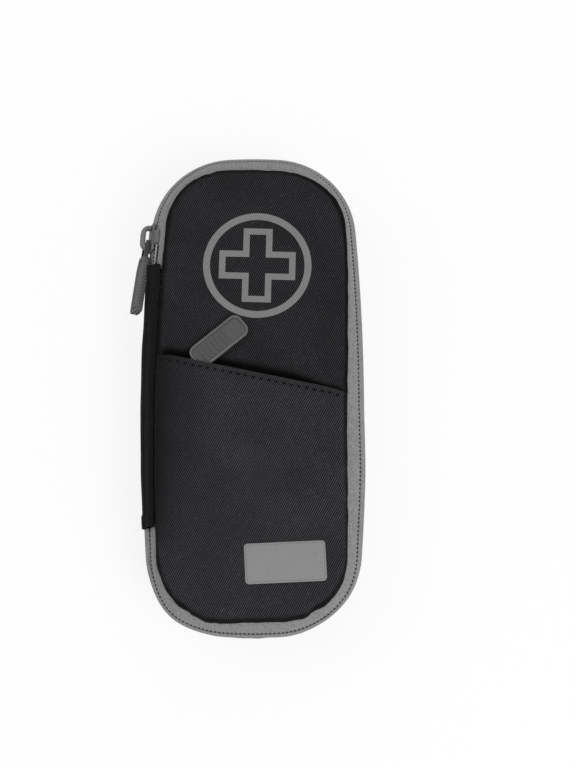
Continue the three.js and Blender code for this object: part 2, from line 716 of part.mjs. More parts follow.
// Main slider: two plates and a web that rides between the tapes, a crown, and the pull on its pin.
// In the slider's frame x points out of the chain, y towards the spine and z to the lid.
function buildMainSlider() {
  const angle = leftAngle(sliderY);
  const radius = SIDE_RADIUS - CHAIN_INSET;
  const seat = new THREE.Group();
  seat.position.set(-sideCentreX + radius * Math.cos(angle), radius * Math.sin(angle), ZIP_HEIGHT);
  seat.rotation.z = angle;
  group.add(seat);
  const frame = new THREE.Group();
  frame.rotation.y = -CHAIN_LEAN;
  seat.add(frame);

  const plateFoot = CLEARANCE;
  const plateTop = plateFoot + SLIDER_PLATE;
  const tail = -SLIDER_LENGTH / 2;
  const nose = SLIDER_LENGTH / 2;
  const shield = new THREE.Shape();
  shield.moveTo(-SLIDER_TAIL_WIDTH / 2, tail);
  shield.lineTo(SLIDER_TAIL_WIDTH / 2, tail);
  shield.quadraticCurveTo(SLIDER_TAIL_WIDTH / 2, 0, SLIDER_NOSE_WIDTH / 2, nose - SLIDER_NOSE_ROUND);
  shield.quadraticCurveTo(SLIDER_NOSE_WIDTH / 2, nose, 0, nose);
  shield.quadraticCurveTo(-SLIDER_NOSE_WIDTH / 2, nose, -SLIDER_NOSE_WIDTH / 2, nose - SLIDER_NOSE_ROUND);
  shield.quadraticCurveTo(-SLIDER_TAIL_WIDTH / 2, 0, -SLIDER_TAIL_WIDTH / 2, tail);
  const outerPlate = sheet(shield, SLIDER_PLATE).rotateY(Math.PI / 2).translate(plateFoot, 0, 0);
  const innerTop = -TAPE - CLEARANCE - COIL_DEPTH - INNER_PLATE_SLACK;
  const innerFoot = innerTop - SLIDER_PLATE;
  const innerHalf = INNER_PLATE_WIDTH / 2;
  const webEnd = tail + INNER_PLATE_LENGTH;
  const innerPlate = block(innerFoot, innerTop, tail, webEnd, -innerHalf, innerHalf);
  const webHalf = SLIDER_WEB / 2;
  const webFoot = innerTop - HAIRLINE;
  const webTop = plateFoot + HAIRLINE;
  const web = block(webFoot, webTop, tail + WEB_INSET, webEnd - WEB_INSET, -webHalf, webHalf);
  add(frame, "main_slider_body", joined([outerPlate, web, innerPlate]), gunmetal);

  const crownFoot = plateTop + HAIRLINE;
  const crownHalf = CROWN_LENGTH / 2;
  const crownClear = LINK_DEPTH + 2 * CLEARANCE;
  const crownTop = crownFoot + crownClear + CROWN_BAR;
  const arch = new THREE.Shape();
  arch.moveTo(crownFoot, -crownHalf);
  arch.quadraticCurveTo(crownTop, -crownHalf, crownTop, -crownHalf / 3);
  arch.lineTo(crownTop, crownHalf / 3);
  arch.quadraticCurveTo(crownTop, crownHalf, crownFoot, crownHalf);
  arch.lineTo(crownFoot, crownHalf - CROWN_BAR);
  arch.quadraticCurveTo(crownTop - CROWN_BAR, crownHalf - CROWN_BAR, crownTop - CROWN_BAR, crownHalf / 3);
  arch.lineTo(crownTop - CROWN_BAR, -crownHalf / 3);
  arch.quadraticCurveTo(crownTop - CROWN_BAR, CROWN_BAR - crownHalf, crownFoot, CROWN_BAR - crownHalf);
  arch.closePath();
  const crown = sheet(arch, CROWN_WIDTH, 5).translate(0, 0, -CROWN_WIDTH / 2);
  add(frame, "main_slider_crown", crown, gunmetal);

  const pull = new THREE.Group();
  const pinOut = crownFoot + crownClear / 2;
  pull.position.set(pinOut, crownHalf - CROWN_BAR - PIN_FROM_POST, 0);
  pull.rotation.z = -PULL_LEAN;
  frame.add(pull);
  const armInner = CROWN_WIDTH / 2 + CLEARANCE;
  const armOuter = armInner + LINK_ARM;
  const half = LINK_DEPTH / 2;
  const pinLength = 2 * armOuter - LINK_ARM;
  const pin = new THREE.CylinderGeometry(PIN_RADIUS, PIN_RADIUS, pinLength, PIN_SIDES).rotateX(Math.PI / 2);
  const armStart = -PIN_RADIUS - LINK_END;
  const bridge = armInner + HAIRLINE;
  const link = joined([
    pin,
    block(-half, half, armStart, LINK_REACH, armInner, armOuter),
    block(-half, half, armStart, LINK_REACH, -armOuter, -armInner),
    block(-half, half, LINK_REACH - LINK_BRIDGE, LINK_REACH, -bridge, bridge),
  ]);
  add(pull, "main_pull_link", link, rubber);
  const start = LINK_REACH + CLEARANCE;
  const end = start + PULL_LENGTH;
  const grip = new THREE.Shape();
  const round = PULL_WIDTH / 2;
  grip.moveTo(-PULL_NECK / 2, start);
  grip.lineTo(PULL_NECK / 2, start);
  grip.lineTo(round, start + PULL_LENGTH / 3);
  grip.absarc(0, end - round, round, 0, Math.PI);
  grip.lineTo(-round, start + PULL_LENGTH / 3);
  grip.closePath();
  const bevel = PULL_SHEET / 4;
  const gripBody = new THREE.ExtrudeGeometry(grip, {
    depth: PULL_SHEET - 2 * bevel,
    bevelThickness: bevel,
    bevelSize: bevel,
    bevelOffset: -bevel,
    bevelSegments: 1,
    curveSegments: 8,
  });
  const gripPlaced = gripBody.rotateY(Math.PI / 2).translate(bevel - PULL_SHEET / 2, 0, 0);
  add(pull, "main_pull_grip", gripPlaced, rubber);
}

// Front panel: top surface by distance from the outline, shared by the pocket that lies on it.
const crownProfile = FRONT_CROWN_SHAPE.map(([across, up]) => [
  FRONT_SEAM_INSET + FRONT_CROWN_WIDTH * across,
  frontZ + FRONT_PANEL * up,
]);

function crownHeight(inset) {
  const [firstInset, firstZ] = crownProfile[0];
  if (inset <= firstInset) {
    return firstZ;
  }
  for (let k = 1; k < crownProfile.length; k += 1) {
    const [before, beforeZ] = crownProfile[k - 1];
    const [after, afterZ] = crownProfile[k];
    if (inset <= after) {
      return beforeZ + ((inset - before) / (after - before)) * (afterZ - beforeZ);
    }
  }
  return frontTopZ;
}

// Distance of a point inside the outline from its nearest arc.
function insetOf(x, y) {
  const px = Math.abs(x);
  const py = Math.abs(y);
  const toSide = Math.atan2(py, px - sideCentreX);
  if (toSide <= sideAngle) {
    return SIDE_RADIUS - Math.hypot(px - sideCentreX, py);
  }
  const toEnd = Math.atan2(py - endCentreY, px);
  if (toEnd >= endAngle) {
    return END_RADIUS - Math.hypot(px, py - endCentreY);
  }
  return CORNER_RADIUS - Math.hypot(px - corner.x, py - corner.y);
}

// Hem frame: its x runs along the hem from the left seam, and its y points up the front.
const hemStart = new THREE.Vector2(
  -sideCentreX + (SIDE_RADIUS - pocketInset) * Math.cos(leftAngle(HEM_LEFT_Y)),
  HEM_LEFT_Y,
);
const hemRun = new THREE.Vector2(Math.cos(HEM_ANGLE), Math.sin(HEM_ANGLE));
const hemUp = new THREE.Vector2(-hemRun.y, hemRun.x);

// Length of the hem: its run to the right side's seam.
function hemLength() {
  const radius = SIDE_RADIUS - pocketInset;
  const toCentre = hemStart.clone().sub(new THREE.Vector2(sideCentreX, 0));
  const along = toCentre.dot(hemRun);
  return -along + Math.sqrt(along ** 2 - toCentre.lengthSq() + radius ** 2);
}

const hemSpan = hemLength();
const hemEnd = hemStart.clone().addScaledVector(hemRun, hemSpan);
const smooth = (t) => {
  const held = Math.min(Math.max(t, 0), 1);
  return held * held * (3 - 2 * held);
};

// Height of the pocket cloth's underside over the panel.
function pocketUnderside(x, y) {
  const at = new THREE.Vector2(x, y).sub(hemStart);
  const along = at.dot(hemRun);
  const below = -at.dot(hemUp);
  const ends = smooth(along / HEM_END_RAMP) * smooth((hemSpan - along) / HEM_END_RAMP);
  const lift = (hemZ - frontTopZ - CLEARANCE) * ends * smooth(1 - (below - hemFlat) / HEM_RAMP);
  return crownHeight(insetOf(x, y)) + CLEARANCE + lift;
}

// Points down one side of the pocket, from the hem to the foot of the case.
function pocketSide(fromY, sign) {
  const side = leftArc(fromY, -sideTopY, FINE_STEPS);
  const pi = Math.PI;
  const turn = arc(-corner.x, -corner.y, CORNER_RADIUS, pi + sideAngle, pi + endAngle, FINE_STEPS).slice(1);
  const foot = arc(0, -endCentreY, END_RADIUS, pi + endAngle, 1.5 * pi, FINE_STEPS).slice(1);
  const points = [...side, ...turn, ...foot].map((station) => {
    const [x, y] = place(station, [pocketInset, 0]);
    return new THREE.Vector2(-sign * x, y);
  });
  return new THREE.SplineCurve(points);
}

// Shares of a row's width where the cloth has points: close together over the panel's crown.
function pocketShares(width) {
  const crown = Math.min(FRONT_CROWN_WIDTH / width, POCKET_CROWN_LIMIT);
  const edge = POCKET_CROWN_SHARES.map((share) => crown * share);
  const middle = [];
  for (let k = 0; k <= POCKET_COLUMNS; k += 1) {
    middle.push(crown + ((1 - 2 * crown) * k) / POCKET_COLUMNS);
  }
  return [...edge, ...middle, ...edge.map((share) => 1 - share).reverse()];
}

function buildPocket() {
  const left = pocketSide(hemStart.y, -1);
  const right = pocketSide(hemEnd.y, 1);
  const rows = [];
  for (let row = 0; row < POCKET_ROWS; row += 1) {
    const t = (row / POCKET_ROWS) ** POCKET_ROW_SPREAD;
    rows.push([left.getPointAt(t), right.getPointAt(t)]);
  }
  const vertices = [];
  const columns = pocketShares(1).length;
  const lastColumn = columns - 1;
  for (const thickness of [0, POCKET_CLOTH]) {
    for (const [from, to] of rows) {
      for (const share of pocketShares(from.distanceTo(to))) {
        const at = from.clone().lerp(to, share);
        vertices.push([at.x, at.y, pocketUnderside(at.x, at.y) + thickness]);
      }
    }
    const foot = left.getPointAt(1);
    vertices.push([foot.x, foot.y, pocketUnderside(foot.x, foot.y) + thickness]);
  }
  const layer = POCKET_ROWS * columns + 1;
  const under = (row, column) => (row === POCKET_ROWS ? layer - 1 : row * columns + column);
  const over = (row, column) => layer + under(row, column);
  const triangles = [];
  const quad = (a, b, c, d) => triangles.push([a, b, c], [a, c, d]);
  for (let row = 0; row < POCKET_ROWS; row += 1) {
    const next = row + 1;
    for (let k = 0; k < lastColumn; k += 1) {
      if (next === POCKET_ROWS) {
        triangles.push([over(row, k), over(next, k), over(row, k + 1)]);
        triangles.push([under(row, k), under(row, k + 1), under(next, k)]);
      } else {
        quad(over(row, k), over(next, k), over(next, k + 1), over(row, k + 1));
        quad(under(row, k), under(row, k + 1), under(next, k + 1), under(next, k));
      }
    }
    quad(under(row, 0), under(next, 0), over(next, 0), over(row, 0));
    quad(under(next, lastColumn), under(row, lastColumn), over(row, lastColumn), over(next, lastColumn));
  }
  for (let k = 0; k < lastColumn; k += 1) {
    quad(under(0, k + 1), under(0, k), over(0, k), over(0, k + 1));
  }
  add(group, "front_pocket", body(vertices, triangles), twill);
}

const hemFrame = new THREE.Group();
hemFrame.position.set(hemStart.x, hemStart.y, 0);
hemFrame.rotation.z = HEM_ANGLE;
group.add(hemFrame);

// Front of the lid: padded panel with the pocket's mouth sunk into it, the printed sign and a bare patch.
function buildFront() {
  const middle = -POCKET_ZIP_DROP;
  const mouth = block(
    MOUTH_MARGIN,
    hemSpan - MOUTH_MARGIN,
    middle - MOUTH_HALF_WIDTH,
    middle + MOUTH_HALF_WIDTH,
    mouthFloorZ,
    frontTopZ + MOUTH_DEPTH,
  );
  mouth.rotateZ(HEM_ANGLE).translate(hemStart.x, hemStart.y, 0);
  const roll = [
    [FRONT_SEAM_INSET + FRONT_ROLL_WIDTH, frontZ],
    [FRONT_SEAM_INSET + FRONT_ROLL_WIDTH / 4, frontZ + FRONT_ROLL_RISE],
  ];
  const panel = plate(closedOutline, [...roll, ...crownProfile]);
  add(group, "front_panel", cut(panel, mouth), twill);

  const sign = new THREE.Group();
  sign.position.set(SIGN_X, HALF_LENGTH - SIGN_FROM_TOP, frontTopZ);
  sign.rotation.z = SIGN_TURN;
  group.add(sign);
  const ring = new THREE.Shape();
  ring.absarc(0, 0, RING_RADIUS, 0, 2 * Math.PI);
  const hole = new THREE.Path();
  hole.absarc(0, 0, RING_RADIUS - RING_STROKE, 0, 2 * Math.PI, true);
  ring.holes.push(hole);
  add(sign, "emblem_ring", sheet(ring, PRINT, RING_STEPS), print);
  const plus = (span, arm) => {
    const s = span / 2;
    const a = arm / 2;
    const turns = [[a, s], [-a, s], [-a, a], [-s, a], [-s, -a], [-a, -a]];
    const rest = [[-a, -s], [a, -s], [a, -a], [s, -a], [s, a], [a, a]];
    return [...turns, ...rest].map(([x, y]) => new THREE.Vector2(x, y));
  };
  const cross = new THREE.Shape(plus(CROSS_SPAN, CROSS_ARM));
  cross.holes.push(new THREE.Path(plus(CROSS_SPAN - 2 * CROSS_STROKE, CROSS_ARM - 2 * CROSS_STROKE)));
  add(sign, "emblem_cross", sheet(cross, PRINT), print);

  const patch = sheet(roundedRectangle(PATCH_WIDTH, PATCH_HEIGHT, PATCH_RADIUS), PATCH_SHEET);
  const badge = add(group, "badge_patch", patch, rubber);
  const pocketTopZ = frontTopZ + CLEARANCE + POCKET_CLOTH;
  badge.position.set(PATCH_X, PATCH_FROM_FOOT - HALF_LENGTH, pocketTopZ + HAIRLINE);
  badge.rotation.z = PATCH_TURN;
}

// Pocket zipper in the sunk mouth, its slider and its rubber tab.
function buildPocketZipper() {
  const start = MOUTH_MARGIN + CLEARANCE;
  const end = hemSpan - MOUTH_MARGIN - CLEARANCE;
  const middle = -POCKET_ZIP_DROP;
  const tapeEdge = MOUTH_HALF_WIDTH - CLEARANCE;
  const strips = { upper: 1, lower: -1 };
  for (const [side, sign] of Object.entries(strips)) {
    const strip = (from, to, z0, z1) => {
      const y0 = middle + sign * from;
      const y1 = middle + sign * to;
      return block(start, end, Math.min(y0, y1), Math.max(y0, y1), z0, z1);
    };
    const tape = strip(POCKET_PARTING, tapeEdge, pocketTapeZ, pocketTapeZ + POCKET_TAPE);
    add(hemFrame, `pocket_zipper_tape_${side}`, tape, zipperTape);
    const coilTo = POCKET_PARTING + POCKET_COIL_WIDTH;
    const coil = strip(POCKET_PARTING, coilTo, pocketCoilZ, pocketCoilZ + POCKET_COIL);
    add(hemFrame, `pocket_zipper_coil_${side}`, coil, zipperCoil);
  }

  const slider = new THREE.Group();
  slider.position.set(POCKET_SLIDER_ALONG, middle, 0);
  hemFrame.add(slider);
  const halfLength = POCKET_SLIDER_LENGTH / 2;
  const halfWidth = POCKET_SLIDER_WIDTH / 2;
  const halfWeb = POCKET_WEB / 2;
  const halfRun = halfLength - POCKET_WEB_INSET;
  const lowerTopZ = pocketSliderZ + POCKET_PLATE;
  const bodyParts = [
    block(-halfLength, halfLength, -halfWidth, halfWidth, pocketSliderZ, lowerTopZ),
    block(-halfLength, halfLength, -halfWidth, halfWidth, pocketPlateZ, pocketPlateTopZ),
    block(-halfRun, halfRun, -halfWeb, halfWeb, lowerTopZ - HAIRLINE, pocketPlateZ + HAIRLINE),
  ];
  add(slider, "pocket_slider_body", joined(bodyParts), gunmetal);
  const crownHalf = POCKET_CROWN_LENGTH / 2;
  const crownWide = POCKET_CROWN_WIDTH / 2;
  const crownFoot = pocketPlateTopZ + HAIRLINE;
  const crown = joined([
    block(-crownHalf, crownHalf, -crownWide, crownWide, crownBarZ, crownBarTopZ),
    block(-crownHalf, POCKET_POST - crownHalf, -crownWide, crownWide, crownFoot, crownBarTopZ),
    block(crownHalf - POCKET_POST, crownHalf, -crownWide, crownWide, crownFoot, crownBarTopZ),
  ]);
  add(slider, "pocket_slider_crown", crown, gunmetal);

  const tab = new THREE.Group();
  tab.position.x = POCKET_POST / 2 - crownHalf;
  tab.rotation.z = TAB_ANGLE - HEM_ANGLE;
  slider.add(tab);
  const eye = new THREE.Shape();
  const rim = EYE_BORE + EYE_RIM;
  const halfTongue = EYE_RIM * 2;
  const spread = Math.asin(halfTongue / rim);
  eye.absarc(0, 0, rim, spread, 2 * Math.PI - spread);
  eye.lineTo(EYE_TONGUE, -halfTongue);
  eye.lineTo(EYE_TONGUE, halfTongue);
  eye.closePath();
  const bore = new THREE.Path();
  bore.absarc(0, 0, EYE_BORE, 0, 2 * Math.PI, true);
  eye.holes.push(bore);
  const eyeBody = sheet(eye, EYE_SHEET, EYE_STEPS).translate(0, 0, eyeZ);
  add(tab, "pocket_pull_link", eyeBody, gunmetal);
  const bevel = TAB_SHEET / 4;
  const tabBody = new THREE.ExtrudeGeometry(roundedRectangle(TAB_LENGTH, TAB_WIDTH, TAB_RADIUS), {
    depth: TAB_SHEET - 2 * bevel,
    bevelThickness: bevel,
    bevelSize: bevel,
    bevelOffset: -bevel,
    bevelSegments: 1,
    curveSegments: 4,
  });
  const tabX = EYE_TONGUE + CLEARANCE + TAB_LENGTH / 2;
  tabBody.translate(tabX, 0, frontTopZ + TAB_REST + bevel);
  add(tab, "pocket_pull_grip", tabBody, rubber);
}

// Inside of the lid: foam, lining, and a net pocket that holds the gel pack.
function buildLidInside() {
  const foamEdge = tapeFlange + CLEARANCE;
  const foamProfile = [
    [foamEdge, lidFoamZ],
    [foamEdge, lidFoamZ + LID_FOAM],
  ];
  add(group, "lid_foam", plate(closedOutline, foamProfile), foam);
  const diagonal = LINING * Math.SQRT1_2;
  const kneeInset = lidEdge + LID_KNEE_WIDTH;
  const kneeZ = lidLiningZ + LID_KNEE_RISE;
  const liningProfile = [
    [lidEdge + LID_ROLL_WIDTH, lidLiningZ],
    [kneeInset, kneeZ],
    [lidEdge, lidLiningZ + LID_ROLL_RISE],
    [lidEdge + LINING, lidLiningZ + LID_ROLL_RISE],
    [kneeInset + diagonal, kneeZ + diagonal],
    [lidEdge + LID_ROLL_WIDTH, lidLiningZ + LINING],
  ];
  add(group, "lid_lining", plate(closedOutline, liningProfile), insulation);

  const gelMid = (gelTopZ + gelZ) / 2;
  const meshFoot = MESH_INSET + MESH_SLOPE;
  const gelWidth = 2 * (HALF_WIDTH - meshFoot - GEL_SIDE_SLACK);
  const gelFootY = meshFoot + GEL_FOOT_SLACK - HALF_LENGTH;
  const gelHeadY = MESH_TOP_Y + CLEARANCE + TRIM_WIDTH + GEL_PEEK;
  const gelOutline = roundedRectangle(gelWidth, gelHeadY - gelFootY, GEL_RADIUS).getPoints(GEL_STEPS);
  const gelPath = gelOutline.slice(0, -1).map((point, k, all) => {
    const before = all[(k + all.length - 1) % all.length];
    const after = all[(k + 1) % all.length];
    const run = after.clone().sub(before).normalize();
    return { x: point.x, y: point.y + (gelHeadY + gelFootY) / 2, nx: run.y, ny: -run.x };
  });
  const hemHalf = GEL_HEM_SHEET / 2;
  const gelProfile = [
    [GEL_CROWN_WIDTH, gelZ],
    [GEL_FLANK_WIDTH, gelMid - GEL_DEPTH * GEL_FLANK_SHARE],
    [GEL_HEM, gelMid - hemHalf],
    [0, gelMid - hemHalf],
    [0, gelMid + hemHalf],
    [GEL_HEM, gelMid + hemHalf],
    [GEL_FLANK_WIDTH, gelMid + GEL_DEPTH * GEL_FLANK_SHARE],
    [GEL_CROWN_WIDTH, gelTopZ],
  ];
  add(group, "gel_pack", plate(gelPath, gelProfile), gelFilm);

  const rimZ = lidLiningZ - CLEARANCE - MESH;
  const lowBend = [meshFoot - MESH_BEND_RUN, meshZ + MESH_BEND_RISE];
  const highBend = [MESH_INSET + MESH_BEND_RUN, rimZ - MESH_BEND_RISE];
  const raised = ([inset, z]) => [inset + MESH / 2, z + MESH];
  const meshProfile = [
    [meshFoot, meshZ],
    lowBend,
    highBend,
    [MESH_INSET, rimZ],
    [MESH_INSET, rimZ + MESH],
    raised(highBend),
    raised(lowBend),
    [meshFoot, meshZ + MESH],
  ];
  const whole = plate(closedOutline, meshProfile);
  const above = block(-HALF_WIDTH, HALF_WIDTH, MESH_TOP_Y, HALF_LENGTH, meshZ - MESH, lidLiningZ);
  add(group, "mesh_pocket", cut(whole, above), netting);

  const trimHalf = HALF_WIDTH - TRIM_INSET;
  const line = [[MESH_INSET, rimZ], highBend, lowBend, [meshFoot, meshZ]];
  const half = line.map(([inset, z]) => new THREE.Vector2(trimHalf - inset, z + MESH));
  const arch = [...half, ...half.map((point) => new THREE.Vector2(-point.x, point.y)).reverse()];
  const trim = sheet(stripShape(arch, TRIM_SHEET), TRIM_WIDTH).rotateX(Math.PI / 2);
  trim.translate(0, MESH_TOP_Y + CLEARANCE + TRIM_WIDTH, 0);
  add(group, "mesh_pocket_trim", trim, elastic);
}

buildBack();
buildTub();
buildPenStraps();
buildZipper();
buildMainSlider();
buildFront();
buildPocket();
buildPocketZipper();
buildLidInside();

export default group;
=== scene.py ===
"""Soft zip case for insulin pens: cloth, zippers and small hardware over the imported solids."""

import logging
import math
from dataclasses import dataclass, field
from enum import Enum
from itertools import accumulate
from typing import Callable, Optional, Sequence, Union

import bmesh
import bpy
from mathutils import Matrix, Vector, noise
from mathutils.bvhtree import BVHTree


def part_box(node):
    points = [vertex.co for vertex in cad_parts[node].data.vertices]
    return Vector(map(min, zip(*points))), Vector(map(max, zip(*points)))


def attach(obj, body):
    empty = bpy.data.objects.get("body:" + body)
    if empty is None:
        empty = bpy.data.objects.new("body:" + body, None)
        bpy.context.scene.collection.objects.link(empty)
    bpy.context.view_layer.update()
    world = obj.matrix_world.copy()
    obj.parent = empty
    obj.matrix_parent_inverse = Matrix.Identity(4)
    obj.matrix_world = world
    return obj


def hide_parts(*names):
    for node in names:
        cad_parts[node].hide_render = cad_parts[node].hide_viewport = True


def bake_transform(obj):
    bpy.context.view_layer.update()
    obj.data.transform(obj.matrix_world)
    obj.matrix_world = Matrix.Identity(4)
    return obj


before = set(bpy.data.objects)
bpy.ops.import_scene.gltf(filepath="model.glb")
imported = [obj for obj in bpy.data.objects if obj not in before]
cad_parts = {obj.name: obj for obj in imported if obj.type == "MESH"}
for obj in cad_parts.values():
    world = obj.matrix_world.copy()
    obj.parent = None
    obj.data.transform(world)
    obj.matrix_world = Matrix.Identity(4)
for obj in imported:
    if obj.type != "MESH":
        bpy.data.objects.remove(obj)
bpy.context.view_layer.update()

LOG = logging.getLogger("case")
MM = 0.001
NEAR = 1e-6  # Points closer than this are one, in metres.
CLOTH_FRAMES = 20  # Frames of each cloth simulation.
Section = list[tuple[float, float]]
Colour = tuple[float, float, float, float]
Piece = bpy.types.Object
Point = tuple[float, float, float]
Height = Callable[[float], float]
Sheet = bmesh.types.BMesh
Material = bpy.types.Material
Node = bpy.types.Node
Socket = bpy.types.NodeSocket
Tree = bpy.types.NodeTree


def grey(level: float, blue: float = 1.0) -> Colour:
    """Neutral linear colour, with a share of blue."""
    return (level, level, level * blue, 1.0)


def ease(share: float) -> float:
    """Smooth step of a share clamped to 0 and 1."""
    share = min(max(share, 0.0), 1.0)
    return share * share * (3.0 - 2.0 * share)


def roll(share: float) -> float:
    """Rise of a quarter circle at a share of its width."""
    return math.sqrt(max(1.0 - (1.0 - min(share, 1.0)) ** 2, 0.0))


def shift(x: float, y: float, z: float) -> Matrix:
    """Move by millimetres."""
    return Matrix.Translation(Vector((x, y, z)) * MM)


def spin(degrees: float, axis: str) -> Matrix:
    """Turn about an axis of the frame."""
    return Matrix.Rotation(math.radians(degrees), 4, axis)


# The case's outline, in millimetres.


@dataclass(frozen=True)
class Station:
    """A place on the outline: point, outward normal and distance along."""

    x: float
    y: float
    nx: float
    ny: float
    s: float

    def at(self, inset: float, z: float) -> Vector:
        """Point at an inset and a height, in metres."""
        return Vector((self.x - inset * self.nx, self.y - inset * self.ny, z)) * MM

    def frame(self, inset: float, z: float) -> Matrix:
        """Frame at an inset and a height: X along the outline, Y out of it, Z up.

        Args:
            inset: Distance inside the outline in millimetres.
            z: Height in millimetres.

        Returns:
            The frame in metres.
        """
        along = Vector((-self.ny, self.nx, 0.0))
        out = Vector((self.nx, self.ny, 0.0))
        turn = Matrix((along, out, Vector((0.0, 0.0, 1.0)))).transposed()
        return Matrix.Translation(self.at(inset, z)) @ turn.to_4x4()


@dataclass(frozen=True)
class Outline:
    """Eight tangent arcs: two long sides, two ends and four corners."""

    half_width: float = 45.6
    half_length: float = 100.0
    side_radius: float = 880.0
    corner_radius: float = 34.5
    end_radius: float = 180.0
    spine_top: float = 53.01
    spine_foot: float = -57.01
    zipper_end: float = 74.5

    def corner(self) -> tuple[float, float]:
        """Centre of the corner arc in the first quadrant.

        Returns:
            Its X and Y in millimetres.
        """
        ax = self.half_width - self.side_radius
        by = self.half_length - self.end_radius
        near = self.side_radius - self.corner_radius
        far = self.end_radius - self.corner_radius
        gap = math.hypot(ax, by)
        along = (near**2 - far**2 + gap**2) / (2.0 * gap)
        rise = math.sqrt(near**2 - along**2)
        ux, uy = -ax / gap, by / gap
        return (ax + along * ux - rise * uy, along * uy + rise * ux)

    def joints(self) -> tuple[float, float]:
        """Angles at which the corner arc meets the long side and the end.

        Returns:
            The angle from X at the side and the angle from Y at the end.
        """
        cx, cy = self.corner()
        lean = math.atan2(cy, cx + self.side_radius - self.half_width)
        return (lean, math.atan2(cx, cy + self.end_radius - self.half_length))

    def arcs(self) -> list[tuple[float, float, float, float, float]]:
        """Arcs anticlockwise from the middle of the spine side.

        Returns:
            Centre X, centre Y, radius, first angle and last angle of each arc.
        """
        cx, cy = self.corner()
        lean, swing = self.joints()
        side = self.side_radius - self.half_width
        end = self.end_radius - self.half_length
        foot, half, top = 1.5 * math.pi, math.pi, 2.5 * math.pi
        r, sr, er = self.corner_radius, self.side_radius, self.end_radius
        return [
            (side, 0.0, sr, half, half + lean),
            (-cx, -cy, r, half + lean, foot - swing),
            (0.0, end, er, foot - swing, foot + swing),
            (cx, -cy, r, foot + swing, 2.0 * math.pi - lean),
            (-side, 0.0, sr, 2.0 * math.pi - lean, 2.0 * math.pi + lean),
            (cx, cy, r, 2.0 * math.pi + lean, top - swing),
            (0.0, -end, er, top - swing, top + swing),
            (-cx, cy, r, top + swing, 3.0 * math.pi - lean),
            (side, 0.0, sr, 3.0 * math.pi - lean, 3.0 * math.pi),
        ]

    def length(self) -> float:
        """Length of the whole outline."""
        return sum(radius * (last - first) for _, _, radius, first, last in self.arcs())

    def station(self, s: float) -> Station:
        """Station at a distance from the middle of the spine side.

        Args:
            s: Distance anticlockwise, which may pass the whole length.

        Returns:
            The station there.
        """
        rest = s % self.length()
        for cx, cy, radius, first, last in self.arcs():
            run = radius * (last - first)
            if rest <= run:
                angle = first + rest / radius
                nx, ny = math.cos(angle), math.sin(angle)
                return Station(cx + radius * nx, cy + radius * ny, nx, ny, s)
            rest -= run
        return self.station(0.0)

    def run(self, start: float, stop: float, step: float) -> list[Station]:
        """Evenly spaced stations from one distance to another, both included."""
        count = max(int(round((stop - start) / step)), 1)
        return [self.station(start + (stop - start) * k / count) for k in range(count + 1)]

    def loop(self, step: float) -> list[Station]:
        """Stations round the whole outline, an even number of them at nearly a spacing."""
        count = 2 * int(round(self.length() / step / 2.0))
        return [self.station(self.length() * k / count) for k in range(count)]

    def spine_side(self, y: float) -> float:
        """Distance along the outline of a Y on the spine side."""
        turn = self.side_radius * math.asin(abs(y) / self.side_radius)
        return turn if y < 0.0 else self.length() - turn

    def corner_distance(self, y: float) -> float:
        """Distance along the outline of a Y on the corner above the spine.

        Args:
            y: Place in millimetres.

        Returns:
            The distance from the middle of the spine side.
        """
        _, cy = self.corner()
        first = sum(r * (last - start) for _, _, r, start, last in self.arcs()[:7])
        start = self.arcs()[7][3]
        angle = 3.0 * math.pi - math.asin((y - cy) / self.corner_radius)
        return first + self.corner_radius * (angle - start)

    def inset_of(self, x: float, y: float) -> float:
        """Distance of a point inside the outline from it.

        Args:
            x: Place in millimetres.
            y: Place in millimetres.

        Returns:
            The distance in millimetres.
        """
        cx, cy = self.corner()
        lean, swing = self.joints()
        x, y = abs(x), abs(y)
        angle = math.atan2(y - cy, x - cx)
        if x > cx and y > cy and lean < angle < math.pi / 2.0 - swing:
            return self.corner_radius - math.hypot(x - cx, y - cy)
        side = self.side_radius - math.hypot(x - self.half_width + self.side_radius, y)
        end = self.end_radius - math.hypot(x, y - self.half_length + self.end_radius)
        return min(side, end)


OUTLINE = Outline()


@dataclass(frozen=True)
class HemLine:
    """The slanted hem of the front pocket: its left end, its slope and its span."""

    x: float = -38.6
    y: float = 12.05
    angle: float = -11.6
    span: float = 77.6

    def along(self, x: float, y: float) -> float:
        """Distance along the hem."""
        turn = math.radians(self.angle)
        return (x - self.x) * math.cos(turn) + (y - self.y) * math.sin(turn)

    def below(self, x: float, y: float) -> float:
        """Distance below the hem."""
        turn = math.radians(self.angle)
        return (x - self.x) * math.sin(turn) - (y - self.y) * math.cos(turn)

    def point(self, along: float, below: float) -> tuple[float, float]:
        """Point at a distance along the hem and one below it.

        Args:
            along: Distance from the hem's left end.
            below: Distance below the hem.

        Returns:
            Its X and Y in millimetres.
        """
        turn = math.radians(self.angle)
        x = self.x + along * math.cos(turn) + below * math.sin(turn)
        return (x, self.y + along * math.sin(turn) - below * math.cos(turn))


HEM = HemLine()


